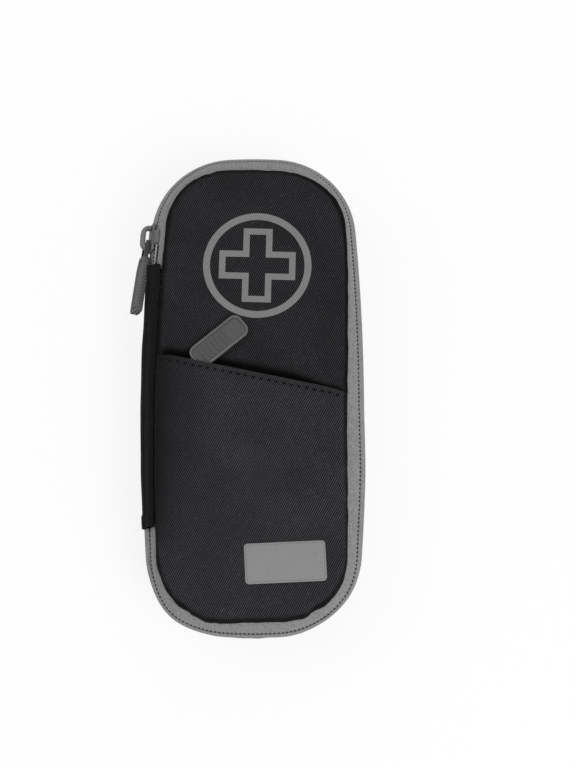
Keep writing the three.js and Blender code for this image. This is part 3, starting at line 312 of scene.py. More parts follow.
@dataclass(frozen=True)
class SeamLine:
    """Seam of the front panel: its inset from the outline at bearings round the case."""

    nominal: float = 7.4
    knots: tuple[tuple[float, float], ...] = (
        (-180.0, 6.2), (-145.0, 5.2), (-128.0, 3.9), (-112.0, 4.5), (-92.0, 5.9), (-66.0, 5.4),
        (-46.0, 4.0), (-32.0, 6.2), (-8.0, 7.9), (18.0, 6.5), (36.0, 4.3), (52.0, 7.2),
        (70.0, 9.1), (92.0, 8.9), (114.0, 8.5), (132.0, 6.9), (152.0, 6.8), (180.0, 6.2),
    )
    kinks: tuple[tuple[float, float], ...] = ((-123.0, 0.5), (-113.0, -0.4), (-64.0, -0.4), (-58.0, 0.55))
    kink_width: float = 2.2
    pucker: float = 0.3
    puckers: float = 19.0
    # Depth to which the painted seam shade stays full, and the depth over which it fades.
    dark: float = 1.0
    shade_fade: float = 1.1

    def line(self, bearing: float) -> float:
        """Inset on straight runs between the knots.

        Args:
            bearing: Bearing in degrees.

        Returns:
            The inset in millimetres.
        """
        bearing = (bearing + 180.0) % 360.0 - 180.0
        for (low, a), (high, b) in zip(self.knots, self.knots[1:]):
            if bearing <= high:
                return a + (b - a) * (bearing - low) / (high - low)
        return self.knots[-1][1]

    def inset(self, x: float, y: float) -> float:
        """Inset of the seam at the bearing of a point, with small puckers.

        Args:
            x: Place in millimetres.
            y: Place in millimetres.

        Returns:
            The inset in millimetres.
        """
        turn = math.atan2(y / OUTLINE.half_length, x / OUTLINE.half_width)
        bearing = math.degrees(turn)
        mean = sum(self.line(bearing + step) for step in (-8.0, -4.0, 0.0, 4.0, 8.0)) / 5.0
        kinks = sum(rise * math.exp(-(((bearing - place) / self.kink_width) ** 2)) for place, rise in self.kinks)
        place = Vector((math.cos(turn) * self.puckers, math.sin(turn) * self.puckers, 0.5))
        return mean + kinks + self.pucker * noise.noise(place)

    def depth(self, x: float, y: float) -> float:
        """Distance of a point inside the seam."""
        return OUTLINE.inset_of(x, y) - self.inset(x, y)

    def shade(self, x: float, y: float) -> float:
        """Painted shade from 0 to 1, darkening the cloth where it turns down into the seam."""
        return 1.0 - ease((max(self.depth(x, y), 0.0) - self.dark) / self.shade_fade)


SEAM = SeamLine()


# Making meshes.


def deselect() -> None:
    """Deselect every object."""
    bpy.ops.object.select_all(action="DESELECT")


def pick(piece: Piece) -> None:
    """Select one object alone and make it active.

    Args:
        piece: The object.
    """
    deselect()
    piece.select_set(True)
    bpy.context.view_layer.objects.active = piece


def modify(piece: Piece, kind: str, **settings: object) -> None:
    """Add one modifier to a piece and apply it.

    Args:
        piece: The piece to change.
        kind: Blender's name of the modifier's type.
        settings: Its settings by name.
    """
    pick(piece)
    modifier = piece.modifiers.new(kind.title(), kind)
    for key, value in settings.items():
        setattr(modifier, key, value)
    bpy.ops.object.modifier_apply(modifier=modifier.name)


def smooth(piece: Piece, degrees: float = 40.0) -> None:
    """Shade a piece smooth except at edges sharper than an angle."""
    pick(piece)
    bpy.ops.object.shade_smooth_by_angle(angle=math.radians(degrees))


def thicken(piece: Piece, thick: float, offset: float = -1.0) -> None:
    """Give a sheet a thickness in millimetres, behind its face or, with an offset of 1, in front of it."""
    modify(piece, "SOLIDIFY", thickness=thick * MM, offset=offset)


def bevel(piece: Piece, width: float, degrees: float, segments: int = 2) -> None:
    """Break the edges of a piece that are sharper than an angle."""
    limit = math.radians(degrees)
    modify(piece, "BEVEL", width=width * MM, segments=segments, limit_method="ANGLE", angle_limit=limit)


def link(name: str, data: bpy.types.ID) -> Piece:
    """Put a mesh, a lamp or a camera into the scene as an object at the origin.

    Args:
        name: Name of the object.
        data: What it holds.

    Returns:
        The object.
    """
    piece = bpy.data.objects.new(name, data)
    bpy.context.scene.collection.objects.link(piece)
    return piece


def soften(section: Section, steps: int = 4) -> Section:
    """Round a polyline off through its own points.

    Args:
        section: Points of (inset, z).
        steps: Points put into each stretch.

    Returns:
        The same line as a smooth curve.
    """
    result: Section = []
    for k in range(len(section) - 1):
        a = section[max(k - 1, 0)]
        b, c = section[k], section[k + 1]
        d = section[min(k + 2, len(section) - 1)]
        for step in range(steps):
            t = step / steps
            point = [
                0.5 * (2 * q + (r - p) * t + (2 * p - 5 * q + 4 * r - e) * t**2 + (3 * q - p - 3 * r + e) * t**3)
                for p, q, r, e in zip(a, b, c, d)
            ]
            result.append((point[0], point[1]))
    return [*result, section[-1]]


def distances(line: Section) -> list[float]:
    """Distance of each point of a polyline from its first, along it."""
    return list(accumulate((math.dist(a, b) for a, b in zip(line, line[1:])), initial=0.0))


def web(
    name: str,
    rows: Sequence[Sequence[Union[Point, Vector]]],
    along: Sequence[float],
    across: Sequence[Sequence[float]],
    flip: bool = False,
) -> Piece:
    """Sheet over rows of points, with a UV map in metres.

    Args:
        name: Name of the piece.
        rows: Points of each row in metres.
        along: U of each row in millimetres, and of the first row again where the sheet closes.
        across: V of each row's points in millimetres.
        flip: Whether the faces look the other way.

    Returns:
        The new piece.
    """
    wide = len(rows[0])
    faces, corners = [], []
    for i in range(len(along) - 1):
        j = (i + 1) % len(rows)
        u, w = along[i], along[i + 1]
        for k in range(wide - 1):
            ring = [(i, k, u), (j, k, w), (j, k + 1, w), (i, k + 1, u)]
            if flip:
                ring = [ring[0], *ring[:0:-1]]
            faces.append([row * wide + column for row, column, _ in ring])
            corners += [(place, across[row][column]) for row, column, place in ring]
    mesh = bpy.data.meshes.new(name)
    mesh.from_pydata([point for row in rows for point in row], [], faces)
    layer = mesh.uv_layers.new(name="flow")
    for loop, (u, v) in zip(layer.data, corners):
        loop.uv = (u * MM, v * MM)
    return link(name, mesh)


def loft(
    name: str,
    stations: Sequence[Station],
    section: Union[Section, Callable[[Station], Section]],
    closed: bool = False,
    swell: Optional[Callable[[float, float], float]] = None,
) -> Piece:
    """Carry a section along the outline as one sheet, with a UV map in metres.

    Args:
        name: Name of the piece.
        stations: Where the section is set down.
        section: Points of (inset, z) from the foot upwards, for faces that look outwards, or what gives them.
        closed: Whether the last station joins the first.
        swell: Extra outward offset from the distance along and the share across.

    Returns:
        The new piece.
    """
    rows, runs = [], []
    for station in stations:
        line = section(station) if callable(section) else section
        run = distances(line)
        outs = [swell(station.s, distance / run[-1]) if swell else 0.0 for distance in run]
        rows.append([station.at(inset - out, z) for (inset, z), out in zip(line, outs)])
        runs.append(run)
    along = [station.s for station in stations]
    return web(name, rows, [*along, OUTLINE.length()] if closed else along, runs)


def ringed(
    insets: Sequence[float],
    height: Height,
    step: float = 3.0,
    down: bool = False,
    seam: Optional[SeamLine] = None,
    fade: float = 18.0,
) -> Sheet:
    """Sheet over the whole outline in rings from its edge to its middle line.

    Args:
        insets: Insets of the rings, the edge first.
        height: Height in millimetres at a depth inside the edge.
        step: Spacing of the points along the edge in millimetres.
        down: Whether the sheet looks down.
        seam: The seam that the outer rings follow, if it isn't at one inset.
        fade: Depth at which the rings no longer follow it.

    Returns:
        The sheet as a bmesh in metres.
    """
    stations = OUTLINE.loop(step)
    strays = [seam.inset(st.x, st.y) - seam.nominal if seam else 0.0 for st in stations]
    rings = []
    for inset in insets:
        share = max(1.0 - (inset - insets[0]) / fade, 0.0)
        depths = [inset + share * stray for stray in strays]
        rings.append([(st.x - d * st.nx, st.y - d * st.ny, inset - insets[0]) for st, d in zip(stations, depths)])
    for share in (0.66, 0.33, 0.0):
        rings.append([(x * share, y, depth) for x, y, depth in rings[len(insets) - 1]])
    sheet = bmesh.new()
    rows = [[sheet.verts.new((x * MM, y * MM, height(d) * MM)) for x, y, d in ring] for ring in rings]
    count = len(stations)
    for outer, inner in zip(rows, rows[1:]):
        for k in range(count):
            n = (k + 1) % count
            corners = [outer[k], outer[n], inner[n], inner[k]]
            sheet.faces.new(corners[::-1] if down else corners)
    bmesh.ops.remove_doubles(sheet, verts=sheet.verts, dist=NEAR)
    bmesh.ops.dissolve_degenerate(sheet, edges=sheet.edges, dist=NEAR / 10.0)
    return sheet


def from_bmesh(name: str, sheet: Sheet) -> Piece:
    """Turn a bmesh into a piece.

    Args:
        name: Name of the piece.
        sheet: The bmesh, which is used up.

    Returns:
        The new piece.
    """
    mesh = bpy.data.meshes.new(name)
    sheet.to_mesh(mesh)
    sheet.free()
    return link(name, mesh)


def cut_line(sheet: Sheet, point: tuple[float, float], normal: tuple[float, float], clear: bool) -> None:
    """Cut a sheet along an upright plane.

    Args:
        sheet: The sheet to cut.
        point: A point of the plane in millimetres.
        normal: The plane's normal.
        clear: Whether what lies beyond the plane goes.
    """
    bmesh.ops.bisect_plane(
        sheet,
        geom=[*sheet.verts, *sheet.edges, *sheet.faces],
        dist=NEAR / 10.0,
        plane_co=(point[0] * MM, point[1] * MM, 0.0),
        plane_no=(normal[0], normal[1], 0.0),
        clear_outer=clear,
    )


def puff(piece: Piece, pinned: Callable[[float, float], bool], pressure: float, cap: float) -> None:
    """Swell a padded piece by cloth simulation and keep the result in its mesh.

    Args:
        piece: The piece, not yet thickened.
        pinned: Says whether its seams hold a place in millimetres.
        pressure: Pressure of the filling.
        cap: Most that a point may move, in millimetres.
    """
    mesh = piece.data
    before = [vertex.co.copy() for vertex in mesh.vertices]
    seam = piece.vertex_groups.new(name="seam")
    seam.add([v.index for v in mesh.vertices if pinned(v.co.x / MM, v.co.y / MM)], 1.0, "REPLACE")
    modifier = piece.modifiers.new("Cloth", "CLOTH")
    cloth = modifier.settings
    cloth.quality = 6
    cloth.mass = 0.2
    cloth.use_pressure = True
    cloth.uniform_pressure_force = pressure
    cloth.effector_weights.gravity = 0.0
    cloth.vertex_group_mass = "seam"
    modifier.collision_settings.use_collision = False
    modifier.point_cache.frame_start = 1
    modifier.point_cache.frame_end = CLOTH_FRAMES
    scene = bpy.context.scene
    for step in range(1, CLOTH_FRAMES + 1):
        scene.frame_set(step)
    pick(piece)
    bpy.ops.object.modifier_apply(modifier=modifier.name)
    for vertex, start in zip(piece.data.vertices, before):
        move = vertex.co - start
        if move.length > cap * MM:
            vertex.co = start + move * (cap * MM / move.length)
    piece.vertex_groups.clear()
    scene.frame_set(1)


def paint(piece: Piece, shade: Callable[[float, float], float]) -> None:
    """Write a painted shade from 0 to 1 into a piece's points, by which its cloth darkens where shade falls.

    Args:
        piece: The piece.
        shade: The painted shade at a place in millimetres.
    """
    # The attribute carries painted shade, which the twill's colour reads.
    layer = piece.data.attributes.new("painted_seam_shade", "FLOAT", "POINT")
    for vertex, value in zip(piece.data.vertices, layer.data):
        value.value = shade(vertex.co.x / MM, vertex.co.y / MM)


def surface(piece: Piece) -> BVHTree:
    """Search tree of a piece's surface."""
    return BVHTree.FromObject(piece, bpy.context.evaluated_depsgraph_get())


def drop(tree: BVHTree, x: float, y: float) -> tuple[Vector, Vector]:
    """Point of a surface straight under a place, and its normal.

    Args:
        tree: Search tree of the surface.
        x: Place in millimetres.
        y: Place in millimetres.

    Returns:
        The point in metres and the normal there.
    """
    hit, normal, _, _ = tree.ray_cast(Vector((x * MM, y * MM, 0.2)), Vector((0.0, 0.0, -1.0)))
    if hit is None:
        raise ValueError(f"nothing under {x:.1f}, {y:.1f}")
    return hit, normal


def strew(name: str, pattern: Piece, places: Sequence[Matrix]) -> Piece:
    """Copy one small shape to many places as one mesh.

    Args:
        name: Name of the piece.
        pattern: The shape, which is used up.
        places: Where each copy goes.

    Returns:
        The new piece.
    """
    points = [vertex.co.copy() for vertex in pattern.data.vertices]
    polygons = [tuple(face.vertices) for face in pattern.data.polygons]
    vertices, faces = [], []
    for place in places:
        base = len(vertices)
        vertices += [place @ point for point in points]
        faces += [tuple(base + index for index in polygon) for polygon in polygons]
    mesh = bpy.data.meshes.new(name)
    mesh.from_pydata(vertices, [], faces)
    bpy.data.objects.remove(pattern)
    piece = link(name, mesh)
    smooth(piece, 60.0)
    return piece


def facing(point: Vector, along: Vector, up: Vector) -> Matrix:
    """Frame at a point with X along a line and Z out of a surface.

    Args:
        point: The point.
        along: Direction of the line.
        up: The surface's normal.

    Returns:
        The frame.
    """
    x = along.normalized()
    y = up.cross(x).normalized()
    z = x.cross(y)
    return Matrix.Translation(point) @ Matrix((x, y, z)).transposed().to_4x4()


# Modelling by hand.


def edit(piece: Piece, mode: str = "EDGE") -> Sheet:
    """Open a piece in edit mode with nothing selected.

    Args:
        piece: The piece to open.
        mode: Selection mode.

    Returns:
        Its edit mesh.
    """
    pick(piece)
    bpy.ops.object.mode_set(mode="EDIT")
    bpy.ops.mesh.select_mode(type=mode)
    bpy.ops.mesh.select_all(action="DESELECT")
    return bmesh.from_edit_mesh(piece.data)


def close_edit() -> None:
    """Leave edit mode."""
    bpy.ops.object.mode_set(mode="OBJECT")


def choose(piece: Piece, sheet: Sheet, faces: Callable[[bmesh.types.BMFace], bool]) -> None:
    """Select the faces that a test picks.

    Args:
        piece: The piece in edit mode.
        sheet: Its edit mesh.
        faces: The test.
    """
    for face in sheet.faces:
        face.select_set(faces(face))
    bmesh.update_edit_mesh(piece.data)


def slice_at(point: Point, normal: Point) -> None:
    """Cut the open piece all through along a plane at a point in millimetres."""
    bpy.ops.mesh.select_all(action="SELECT")
    bpy.ops.mesh.bisect(plane_co=[value * MM for value in point], plane_no=normal)


def named(name: str) -> Piece:
    """Name the shape that an operator has just added, and its mesh."""
    bpy.context.object.name = bpy.context.object.data.name = name
    return bpy.context.object


def slab(name: str, size: Point, corner: float, edge: float, segments: int = 6) -> Piece:
    """Rounded plate about the origin, from a cube bevelled at its corners and then along its rims.

    Args:
        name: Name of the piece.
        size: Its length, width and thickness in millimetres.
        corner: Radius of its corners.
        edge: Radius of its rims.
        segments: Steps round each corner.

    Returns:
        The new piece.
    """
    deselect()
    bpy.ops.mesh.primitive_cube_add(size=1.0)
    piece = named(name)
    piece.scale = [side * MM for side in size]
    bpy.ops.object.transform_apply(location=True, rotation=True, scale=True)
    sheet = edit(piece)
    for rim in sheet.edges:
        ends = rim.verts[1].co - rim.verts[0].co
        rim.select_set(abs(ends.z) > abs(ends.x) + abs(ends.y))
    bmesh.update_edit_mesh(piece.data)
    bpy.ops.mesh.bevel(offset=corner * MM, segments=segments, affect="EDGES")
    if edge:
        sheet = bmesh.from_edit_mesh(piece.data)
        for rim in sheet.edges:
            flat = abs(rim.verts[1].co.z - rim.verts[0].co.z) < NEAR / 10.0
            rim.select_set(flat and len({face.normal.z > 0.5 for face in rim.link_faces}) == 2)
            if flat and any(face.normal.z < -0.5 for face in rim.link_faces):
                rim.select_set(any(face.normal.z > -0.5 for face in rim.link_faces))
        bmesh.update_edit_mesh(piece.data)
        bpy.ops.mesh.bevel(offset=edge * MM, segments=2, affect="EDGES")
    close_edit()
    return piece


def sink(piece: Piece, rim: float, depth: float, lip: float, up: bool = True) -> None:
    """Inset a plate's face and press it in, which leaves a raised rim.

    Args:
        piece: A plate about the origin.
        rim: Width of the rim in millimetres.
        depth: Depth of the field in millimetres.
        lip: Width of the rim's inner slope in millimetres.
        up: Whether the upper face is pressed in.
    """
    sheet = edit(piece, "FACE")
    sign = 1.0 if up else -1.0
    area = max(face.calc_area() for face in sheet.faces if face.normal.z * sign > 0.9)
    choose(piece, sheet, lambda face: face.normal.z * sign > 0.9 and face.calc_area() > 0.9 * area)
    bpy.ops.mesh.inset(thickness=rim * MM, depth=0.0)
    bpy.ops.mesh.inset(thickness=lip * MM, depth=-depth * MM)
    close_edit()


def merge(pieces: Sequence[Piece], name: str) -> Piece:
    """Join pieces into the first of them.

    Args:
        pieces: The pieces.
        name: Name of the whole.

    Returns:
        The first piece.
    """
    deselect()
    for piece in pieces:
        piece.select_set(True)
    bpy.context.view_layer.objects.active = pieces[0]
    bpy.ops.object.join()
    pieces[0].name = pieces[0].data.name = name
    return pieces[0]


def put(piece: Piece, place: Matrix) -> None:
    """Move a piece to a place and keep the place in its mesh.

    Args:
        piece: The piece.
        place: Its new frame.
    """
    pick(piece)
    piece.matrix_world = place
    bpy.ops.object.transform_apply(location=True, rotation=True, scale=True)


def machined(node: str, name: str, edge: float) -> Piece:
    """Copy of a CAD node with its doubles merged and its edges broken.

    Args:
        node: The CAD node.
        name: Name of the piece.
        edge: Width of the edge bevel in millimetres.

    Returns:
        The new piece.
    """
    piece = link(name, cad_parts[node].data.copy())
    piece.data.name = name
    piece.data.materials.clear()
    edit(piece)
    bpy.ops.mesh.select_all(action="SELECT")
    bpy.ops.mesh.remove_doubles(threshold=NEAR)
    bpy.ops.mesh.dissolve_limited(angle_limit=math.radians(2.0))
    close_edit()
    bevel(piece, edge, 30.0)
    smooth(piece, 35.0)
    return piece


# Node boards and the shared effects.


class Board:
    """Node tree of a material or a group."""

    def __init__(self, tree: Tree) -> None:
        """Keep the tree that the nodes go into."""
        self.tree = tree

    def node(self, kind: str, inputs: Optional[dict] = None, **settings: object) -> Node:
        """Add a node.

        Args:
            kind: Its type.
            inputs: Socket to value, or to the socket that feeds it.
            settings: Its own settings by name.

        Returns:
            The node.
        """
        made = self.tree.nodes.new(kind)
        for key, value in settings.items():
            setattr(made, key, value)
        for key, value in (inputs or {}).items():
            if isinstance(value, Socket):
                self.tree.links.new(value, made.inputs[key])
            else:
                made.inputs[key].default_value = value
        return made

    def sum(self, operation: str, a: object, b: object = 0.0, c: object = 0.0) -> Socket:
        """Result of a maths node on up to three values."""
        return self.node("ShaderNodeMath", {0: a, 1: b, 2: c}, operation=operation).outputs[0]

    def times(self, a: object, b: object) -> Socket:
        """Product of two values."""
        return self.sum("MULTIPLY", a, b)

    def clouds(self, place: object, scale: float, detail: float, distortion: float = 0.0) -> Socket:
        """Noise at a place."""
        inputs = {"Vector": place, "Scale": scale, "Detail": detail, "Distortion": distortion}
        return self.node("ShaderNodeTexNoise", inputs).outputs[0]

    def blend(self, share: object, low: object, high: object) -> Socket:
        """Colour between two by a share."""
        made = self.node("ShaderNodeMix", {0: share, 6: low, 7: high}, data_type="RGBA")
        return made.outputs[2]

    def span(self, value: object, low: float, high: float) -> Socket:
        """Value from 0 to 1 laid between two limits."""
        return self.node("ShaderNodeMapRange", {0: value, 3: low, 4: high}).outputs[0]


class Effects:
    """Node groups that several finishes share."""

    def __init__(self) -> None:
        """Build every group once."""
        self.twill = self._twill()
        self.ribs = self._ribs()
        self.grain = self._grain()
        self.lint = self._lint()

    @staticmethod
    def _open(name: str, inputs: dict[str, float], outputs: Sequence[str]) -> tuple[Board, dict, Node]:
        """Start a group with a vector input, value inputs and value outputs.

        Args:
            name: Name of the group.
            inputs: Value inputs and their defaults.
            outputs: Names of the value outputs.

        Returns:
            Its board, its input sockets by name and its output node.
        """
        tree = bpy.data.node_groups.new(name, "ShaderNodeTree")
        tree.interface.new_socket("Vector", in_out="INPUT", socket_type="NodeSocketVector")
        for key, value in inputs.items():
            socket = tree.interface.new_socket(key, in_out="INPUT", socket_type="NodeSocketFloat")
            socket.default_value = value
        for key in outputs:
            tree.interface.new_socket(key, in_out="OUTPUT", socket_type="NodeSocketFloat")
        board = Board(tree)
        source = board.node("NodeGroupInput")
        return board, {socket.name: socket for socket in source.outputs}, board.node("NodeGroupOutput")

    @staticmethod
    def _close(board: Board, result: Node, *values: Socket) -> Tree:
        """Feed a group's outputs in order.

        Args:
            board: The group's board.
            result: Its output node.
            values: What feeds each output.

        Returns:
            The group.
        """
        for value, socket in zip(values, result.inputs):
            board.tree.links.new(value, socket)
        return board.tree

    def _twill(self) -> Tree:
        """Diagonal ribs of short floats, in millimetres of pitch.

        Returns:
            The group.
        """
        board, given, result = self._open("twill_weave", {"Pitch": 0.95, "Angle": 0.5}, ("Height", "Tone"))
        wobble = board.clouds(given["Vector"], 260.0, 2.0)
        turned = board.node(
            "ShaderNodeVectorRotate", {"Vector": given["Vector"], "Angle": given["Angle"]}, rotation_type="Z_AXIS"
        )
        axes = board.node("ShaderNodeSeparateXYZ", {0: turned.outputs[0]})
        scale = board.sum("DIVIDE", 1000.0, given["Pitch"])
        across = board.sum("MULTIPLY_ADD", axes.outputs[0], scale, board.times(wobble, 0.6))
        row = board.sum("FLOOR", across)
        wave = board.sum("SINE", board.times(across, 2.0 * math.pi))
        rib = board.node("ShaderNodeMapRange", {0: wave, 1: -0.45, 2: 0.95}).outputs[0]
        along = board.times(axes.outputs[1], board.times(scale, 0.62))
        along = board.sum("MULTIPLY_ADD", row, 0.37, along)
        thread = board.sum("SINE", board.times(board.sum("FRACT", along), math.pi))
        height = board.times(rib, board.sum("MULTIPLY_ADD", thread, 0.3, 0.7))
        cell = board.node("ShaderNodeCombineXYZ", {0: row, 1: board.sum("FLOOR", along)})
        speck = board.node("ShaderNodeTexWhiteNoise", {"Vector": cell.outputs[0]}, noise_dimensions="2D")
        return self._close(board, result, height, speck.outputs[0])

    def _ribs(self) -> Tree:
        """Warp ribs along U crossed by fine weft, in millimetres of pitch.

        Returns:
            The group.
        """
        board, given, result = self._open("woven_ribs", {"Rib": 0.6, "Weft": 0.35}, ("Height", "Tone"))
        axes = board.node("ShaderNodeSeparateXYZ", {0: given["Vector"]})
        across = board.sum("DIVIDE", board.times(axes.outputs[1], 1000.0), given["Rib"])
        along = board.sum("DIVIDE", board.times(axes.outputs[0], 1000.0), given["Weft"])
        row = board.sum("FLOOR", across)
        rib = board.sum("SINE", board.times(board.sum("FRACT", across), math.pi))
        shifted = board.sum("MULTIPLY_ADD", row, 0.5, along)
        weft = board.sum("SINE", board.times(board.sum("FRACT", shifted), math.pi))
        height = board.sum("MULTIPLY_ADD", weft, 0.4, board.times(rib, 0.6))
        cell = board.node("ShaderNodeCombineXYZ", {0: board.sum("FLOOR", shifted), 1: row})
        speck = board.node("ShaderNodeTexWhiteNoise", {"Vector": cell.outputs[0]}, noise_dimensions="2D")
        return self._close(board, result, height, speck.outputs[0])

    def _grain(self) -> Tree:
        """Moulded stipple: small pebbles over a slow unevenness.

        Returns:
            The group.
        """
        board, given, result = self._open("moulded_grain", {"Size": 0.5}, ("Height", "Tone"))
        scale = board.sum("DIVIDE", 1000.0, given["Size"])
        cells = board.node("ShaderNodeTexVoronoi", {"Vector": given["Vector"], "Scale": scale})
        slow = board.clouds(given["Vector"], 140.0, 3.0)
        height = board.sum("SUBTRACT", 1.0, cells.outputs["Distance"])
        return self._close(board, result, height, slow)

    def _lint(self) -> Tree:
        """Slow shading and sparse pale specks of lint and dust.

        Returns:
            The group.
        """
        board, given, result = self._open("lint_and_dust", {"Amount": 0.5}, ("Specks", "Shade"))
        fine = board.clouds(given["Vector"], 900.0, 1.0)
        slow = board.clouds(given["Vector"], 45.0, 4.0)
        specks = board.node("ShaderNodeMapRange", {0: fine, 1: 0.68, 2: 0.78})
        amount = board.times(specks.outputs[0], given["Amount"])
        return self._close(board, result, amount, slow)


EFFECTS = Effects()


class Lie(Enum):
    """What a pattern follows."""

    FRAME = "Object"
    FLOW = "UV"


@dataclass(frozen=True)
class Finish:
    """What every finish shares: its name and its shader."""

    name: str

    def open(self, lie: Lie = Lie.FRAME) -> tuple[Material, Board, Node, Socket]:
        """Start a material.

        Args:
            lie: What its patterns follow.

        Returns:
            The material, its board, its shader and the place that its patterns read.
        """
        material = bpy.data.materials.new(self.name)
        material.use_nodes = True
        board = Board(material.node_tree)
        place = board.node("ShaderNodeTexCoord").outputs[lie.value]
        return material, board, material.node_tree.nodes["Principled BSDF"], place

    @staticmethod
    def feed(board: Board, shader: Node, colour: object, rough: object) -> None:
        """Feed a shader's colour and roughness."""
        board.tree.links.new(colour, shader.inputs["Base Color"])
        board.tree.links.new(rough, shader.inputs["Roughness"])

    @staticmethod
    def emboss(board: Board, shader: Node, height: object, depth: float, strength: float) -> None:
        """Feed a shader's normal from a height of some millimetres."""
        bump = board.node("ShaderNodeBump", {"Height": height, "Distance": depth * MM, "Strength": strength})
        board.tree.links.new(bump.outputs[0], shader.inputs["Normal"])

    @staticmethod
    def fix(shader: Node, values: dict[str, object]) -> None:
        """Set a shader's own values by name."""
        for key, value in values.items():
            shader.inputs[key].default_value = value

    @staticmethod
    def diamonds(board: Board, place: Socket, pitch: float) -> list[Socket]:
        """Two waves that cross at right angles, both diagonal, from 0 to 1.

        Args:
            board: The board that gets the nodes.
            place: The place they follow.
            pitch: Their pitch in millimetres.

        Returns:
            The waves.
        """
        turned = board.node("ShaderNodeVectorRotate", {"Vector": place, "Angle": math.pi / 4.0}, rotation_type="Z_AXIS")
        axes = board.node("ShaderNodeSeparateXYZ", {0: turned.outputs[0]}).outputs
        phases = [board.times(axes[k], math.pi * 1000.0 / pitch) for k in (0, 1)]
        return [board.sum("ABSOLUTE", board.sum("SINE", phase)) for phase in phases]

    @staticmethod
    def use(board: Board, tree: Tree, vector: object, **values: float) -> Node:
        """Place a shared group on a board, with what it follows and its other inputs by name."""
        return board.node("ShaderNodeGroup", {"Vector": vector, **values}, node_tree=tree)


@dataclass(frozen=True)
class Twill(Finish):
    """Twill cloth, with lint, slow random tone, painted shade from its seam attribute and a soft sheen."""

    dark: Colour
    light: Colour
    pitch: float = 0.78
    angle: float = 28.0
    lie: Lie = Lie.FRAME
    depth: float = 0.16
    lint: float = 0.3
    sheen: float = 0.015
    gloss: float = 0.06

    def material(self) -> Material:
        """Material of the cloth.

        Returns:
            The material.
        """
        material, board, shader, place = self.open(self.lie)
        weave = self.use(board, EFFECTS.twill, place, Pitch=self.pitch, Angle=math.radians(self.angle))
        lint = self.use(board, EFFECTS.lint, place, Amount=self.lint)
        share = board.times(weave.outputs["Height"], board.span(weave.outputs["Tone"], 0.65, 1.0))
        share = board.times(share, board.span(lint.outputs["Shade"], 0.45, 1.45))
        cloth = board.blend(share, self.dark, self.light)
        pale = tuple(min(3.0 * value, 0.5) for value in self.light[:3]) + (1.0,)
        colour = board.blend(board.times(lint.outputs["Specks"], 0.35), cloth, pale)
        # Painted shade: the piece's painted_seam_shade attribute darkens the cloth to near-black at seams, in the
        # pocket's mouth, along the hem stitches and on the pocket's left flank.
        seam = board.node("ShaderNodeAttribute", attribute_name="painted_seam_shade").outputs["Fac"]
        colour = board.blend(seam, colour, tuple(value * 0.35 for value in self.dark[:3]) + (1.0,))
        self.feed(board, shader, colour, board.span(weave.outputs["Tone"], 0.74, 0.92))
        self.emboss(board, shader, weave.outputs["Height"], self.depth, 0.8)
        self.fix(shader, {"Sheen Weight": self.sheen, "Sheen Roughness": 0.5, "Specular IOR Level": self.gloss})
        return material


@dataclass(frozen=True)
class Ribbed(Finish):
    """Narrow woven goods: zipper tape and elastic."""

    dark: Colour
    light: Colour
    rib: float = 0.6
    weft: float = 0.35
    depth: float = 0.08
    sheen: float = 0.1
    gloss: float = 0.15

    def material(self) -> Material:
        """Material of the woven band.

        Returns:
            The material.
        """
        material, board, shader, place = self.open(Lie.FLOW)
        weave = self.use(board, EFFECTS.ribs, place, Rib=self.rib, Weft=self.weft)
        lint = self.use(board, EFFECTS.lint, place, Amount=0.2)
        share = board.times(weave.outputs["Height"], board.span(weave.outputs["Tone"], 0.55, 1.25))
        share = board.times(share, board.span(lint.outputs["Shade"], 0.85, 1.1))
        self.feed(board, shader, board.blend(share, self.dark, self.light), board.span(share, 0.9, 0.76))
        self.emboss(board, shader, weave.outputs["Height"], self.depth, 0.7)
        self.fix(shader, {"Sheen Weight": self.sheen, "Specular IOR Level": self.gloss})
        return material


@dataclass(frozen=True)
class Moulded(Finish):
    """Moulded rubber or nylon, with stipple, slow shade and rubbed high spots."""

    dark: Colour
    light: Colour
    size: float = 0.5
    depth: float = 0.05
    rough: float = 0.6
    metal: float = 0.0

    def material(self) -> Material:
        """Material of the moulding.

        Returns:
            The material.
        """
        material, board, shader, place = self.open()
        grain = self.use(board, EFFECTS.grain, place, Size=self.size)
        lint = self.use(board, EFFECTS.lint, place, Amount=0.25)
        share = board.sum("MULTIPLY_ADD", grain.outputs["Height"], 0.5, board.span(grain.outputs["Tone"], -0.1, 0.5))
        colour = board.blend(share, self.dark, self.light)
        colour = board.blend(board.times(lint.outputs["Specks"], 0.3), colour, self.light)
        rough = board.span(grain.outputs["Tone"], self.rough - 0.1, self.rough + 0.12)
        self.feed(board, shader, colour, rough)
        self.emboss(board, shader, grain.outputs["Height"], self.depth, 0.6)
        self.fix(shader, {"Metallic": self.metal})
        return material


@dataclass(frozen=True)
class Foil(Finish):
    """Metallised lining, crinkled and quilted in diamonds."""

    dark: Colour = grey(0.36, 1.03)
    light: Colour = grey(0.62, 1.03)
    quilt: float = 11.0
    metal: float = 0.55
    lie: Lie = Lie.FRAME

    def material(self) -> Material:
        """Material of the lining.

        Returns:
            The material.
        """
        material, board, shader, place = self.open(self.lie)
        crease = board.clouds(place, 320.0, 5.0, 1.2)
        pillow = board.sum("POWER", board.times(*self.diamonds(board, place, self.quilt)), 0.4)
        height = board.sum("MULTIPLY_ADD", crease, 0.35, pillow)
        # Painted shade: the colour darkens in the crinkles and the quilt lines, where the foil sinks, and lightens on
        # the pillows.
        colour = board.blend(board.times(crease, pillow), self.dark, self.light)
        self.feed(board, shader, colour, board.span(crease, 0.28, 0.5))
        self.emboss(board, shader, height, 0.7, 0.6)
        self.fix(shader, {"Metallic": self.metal})
        return material


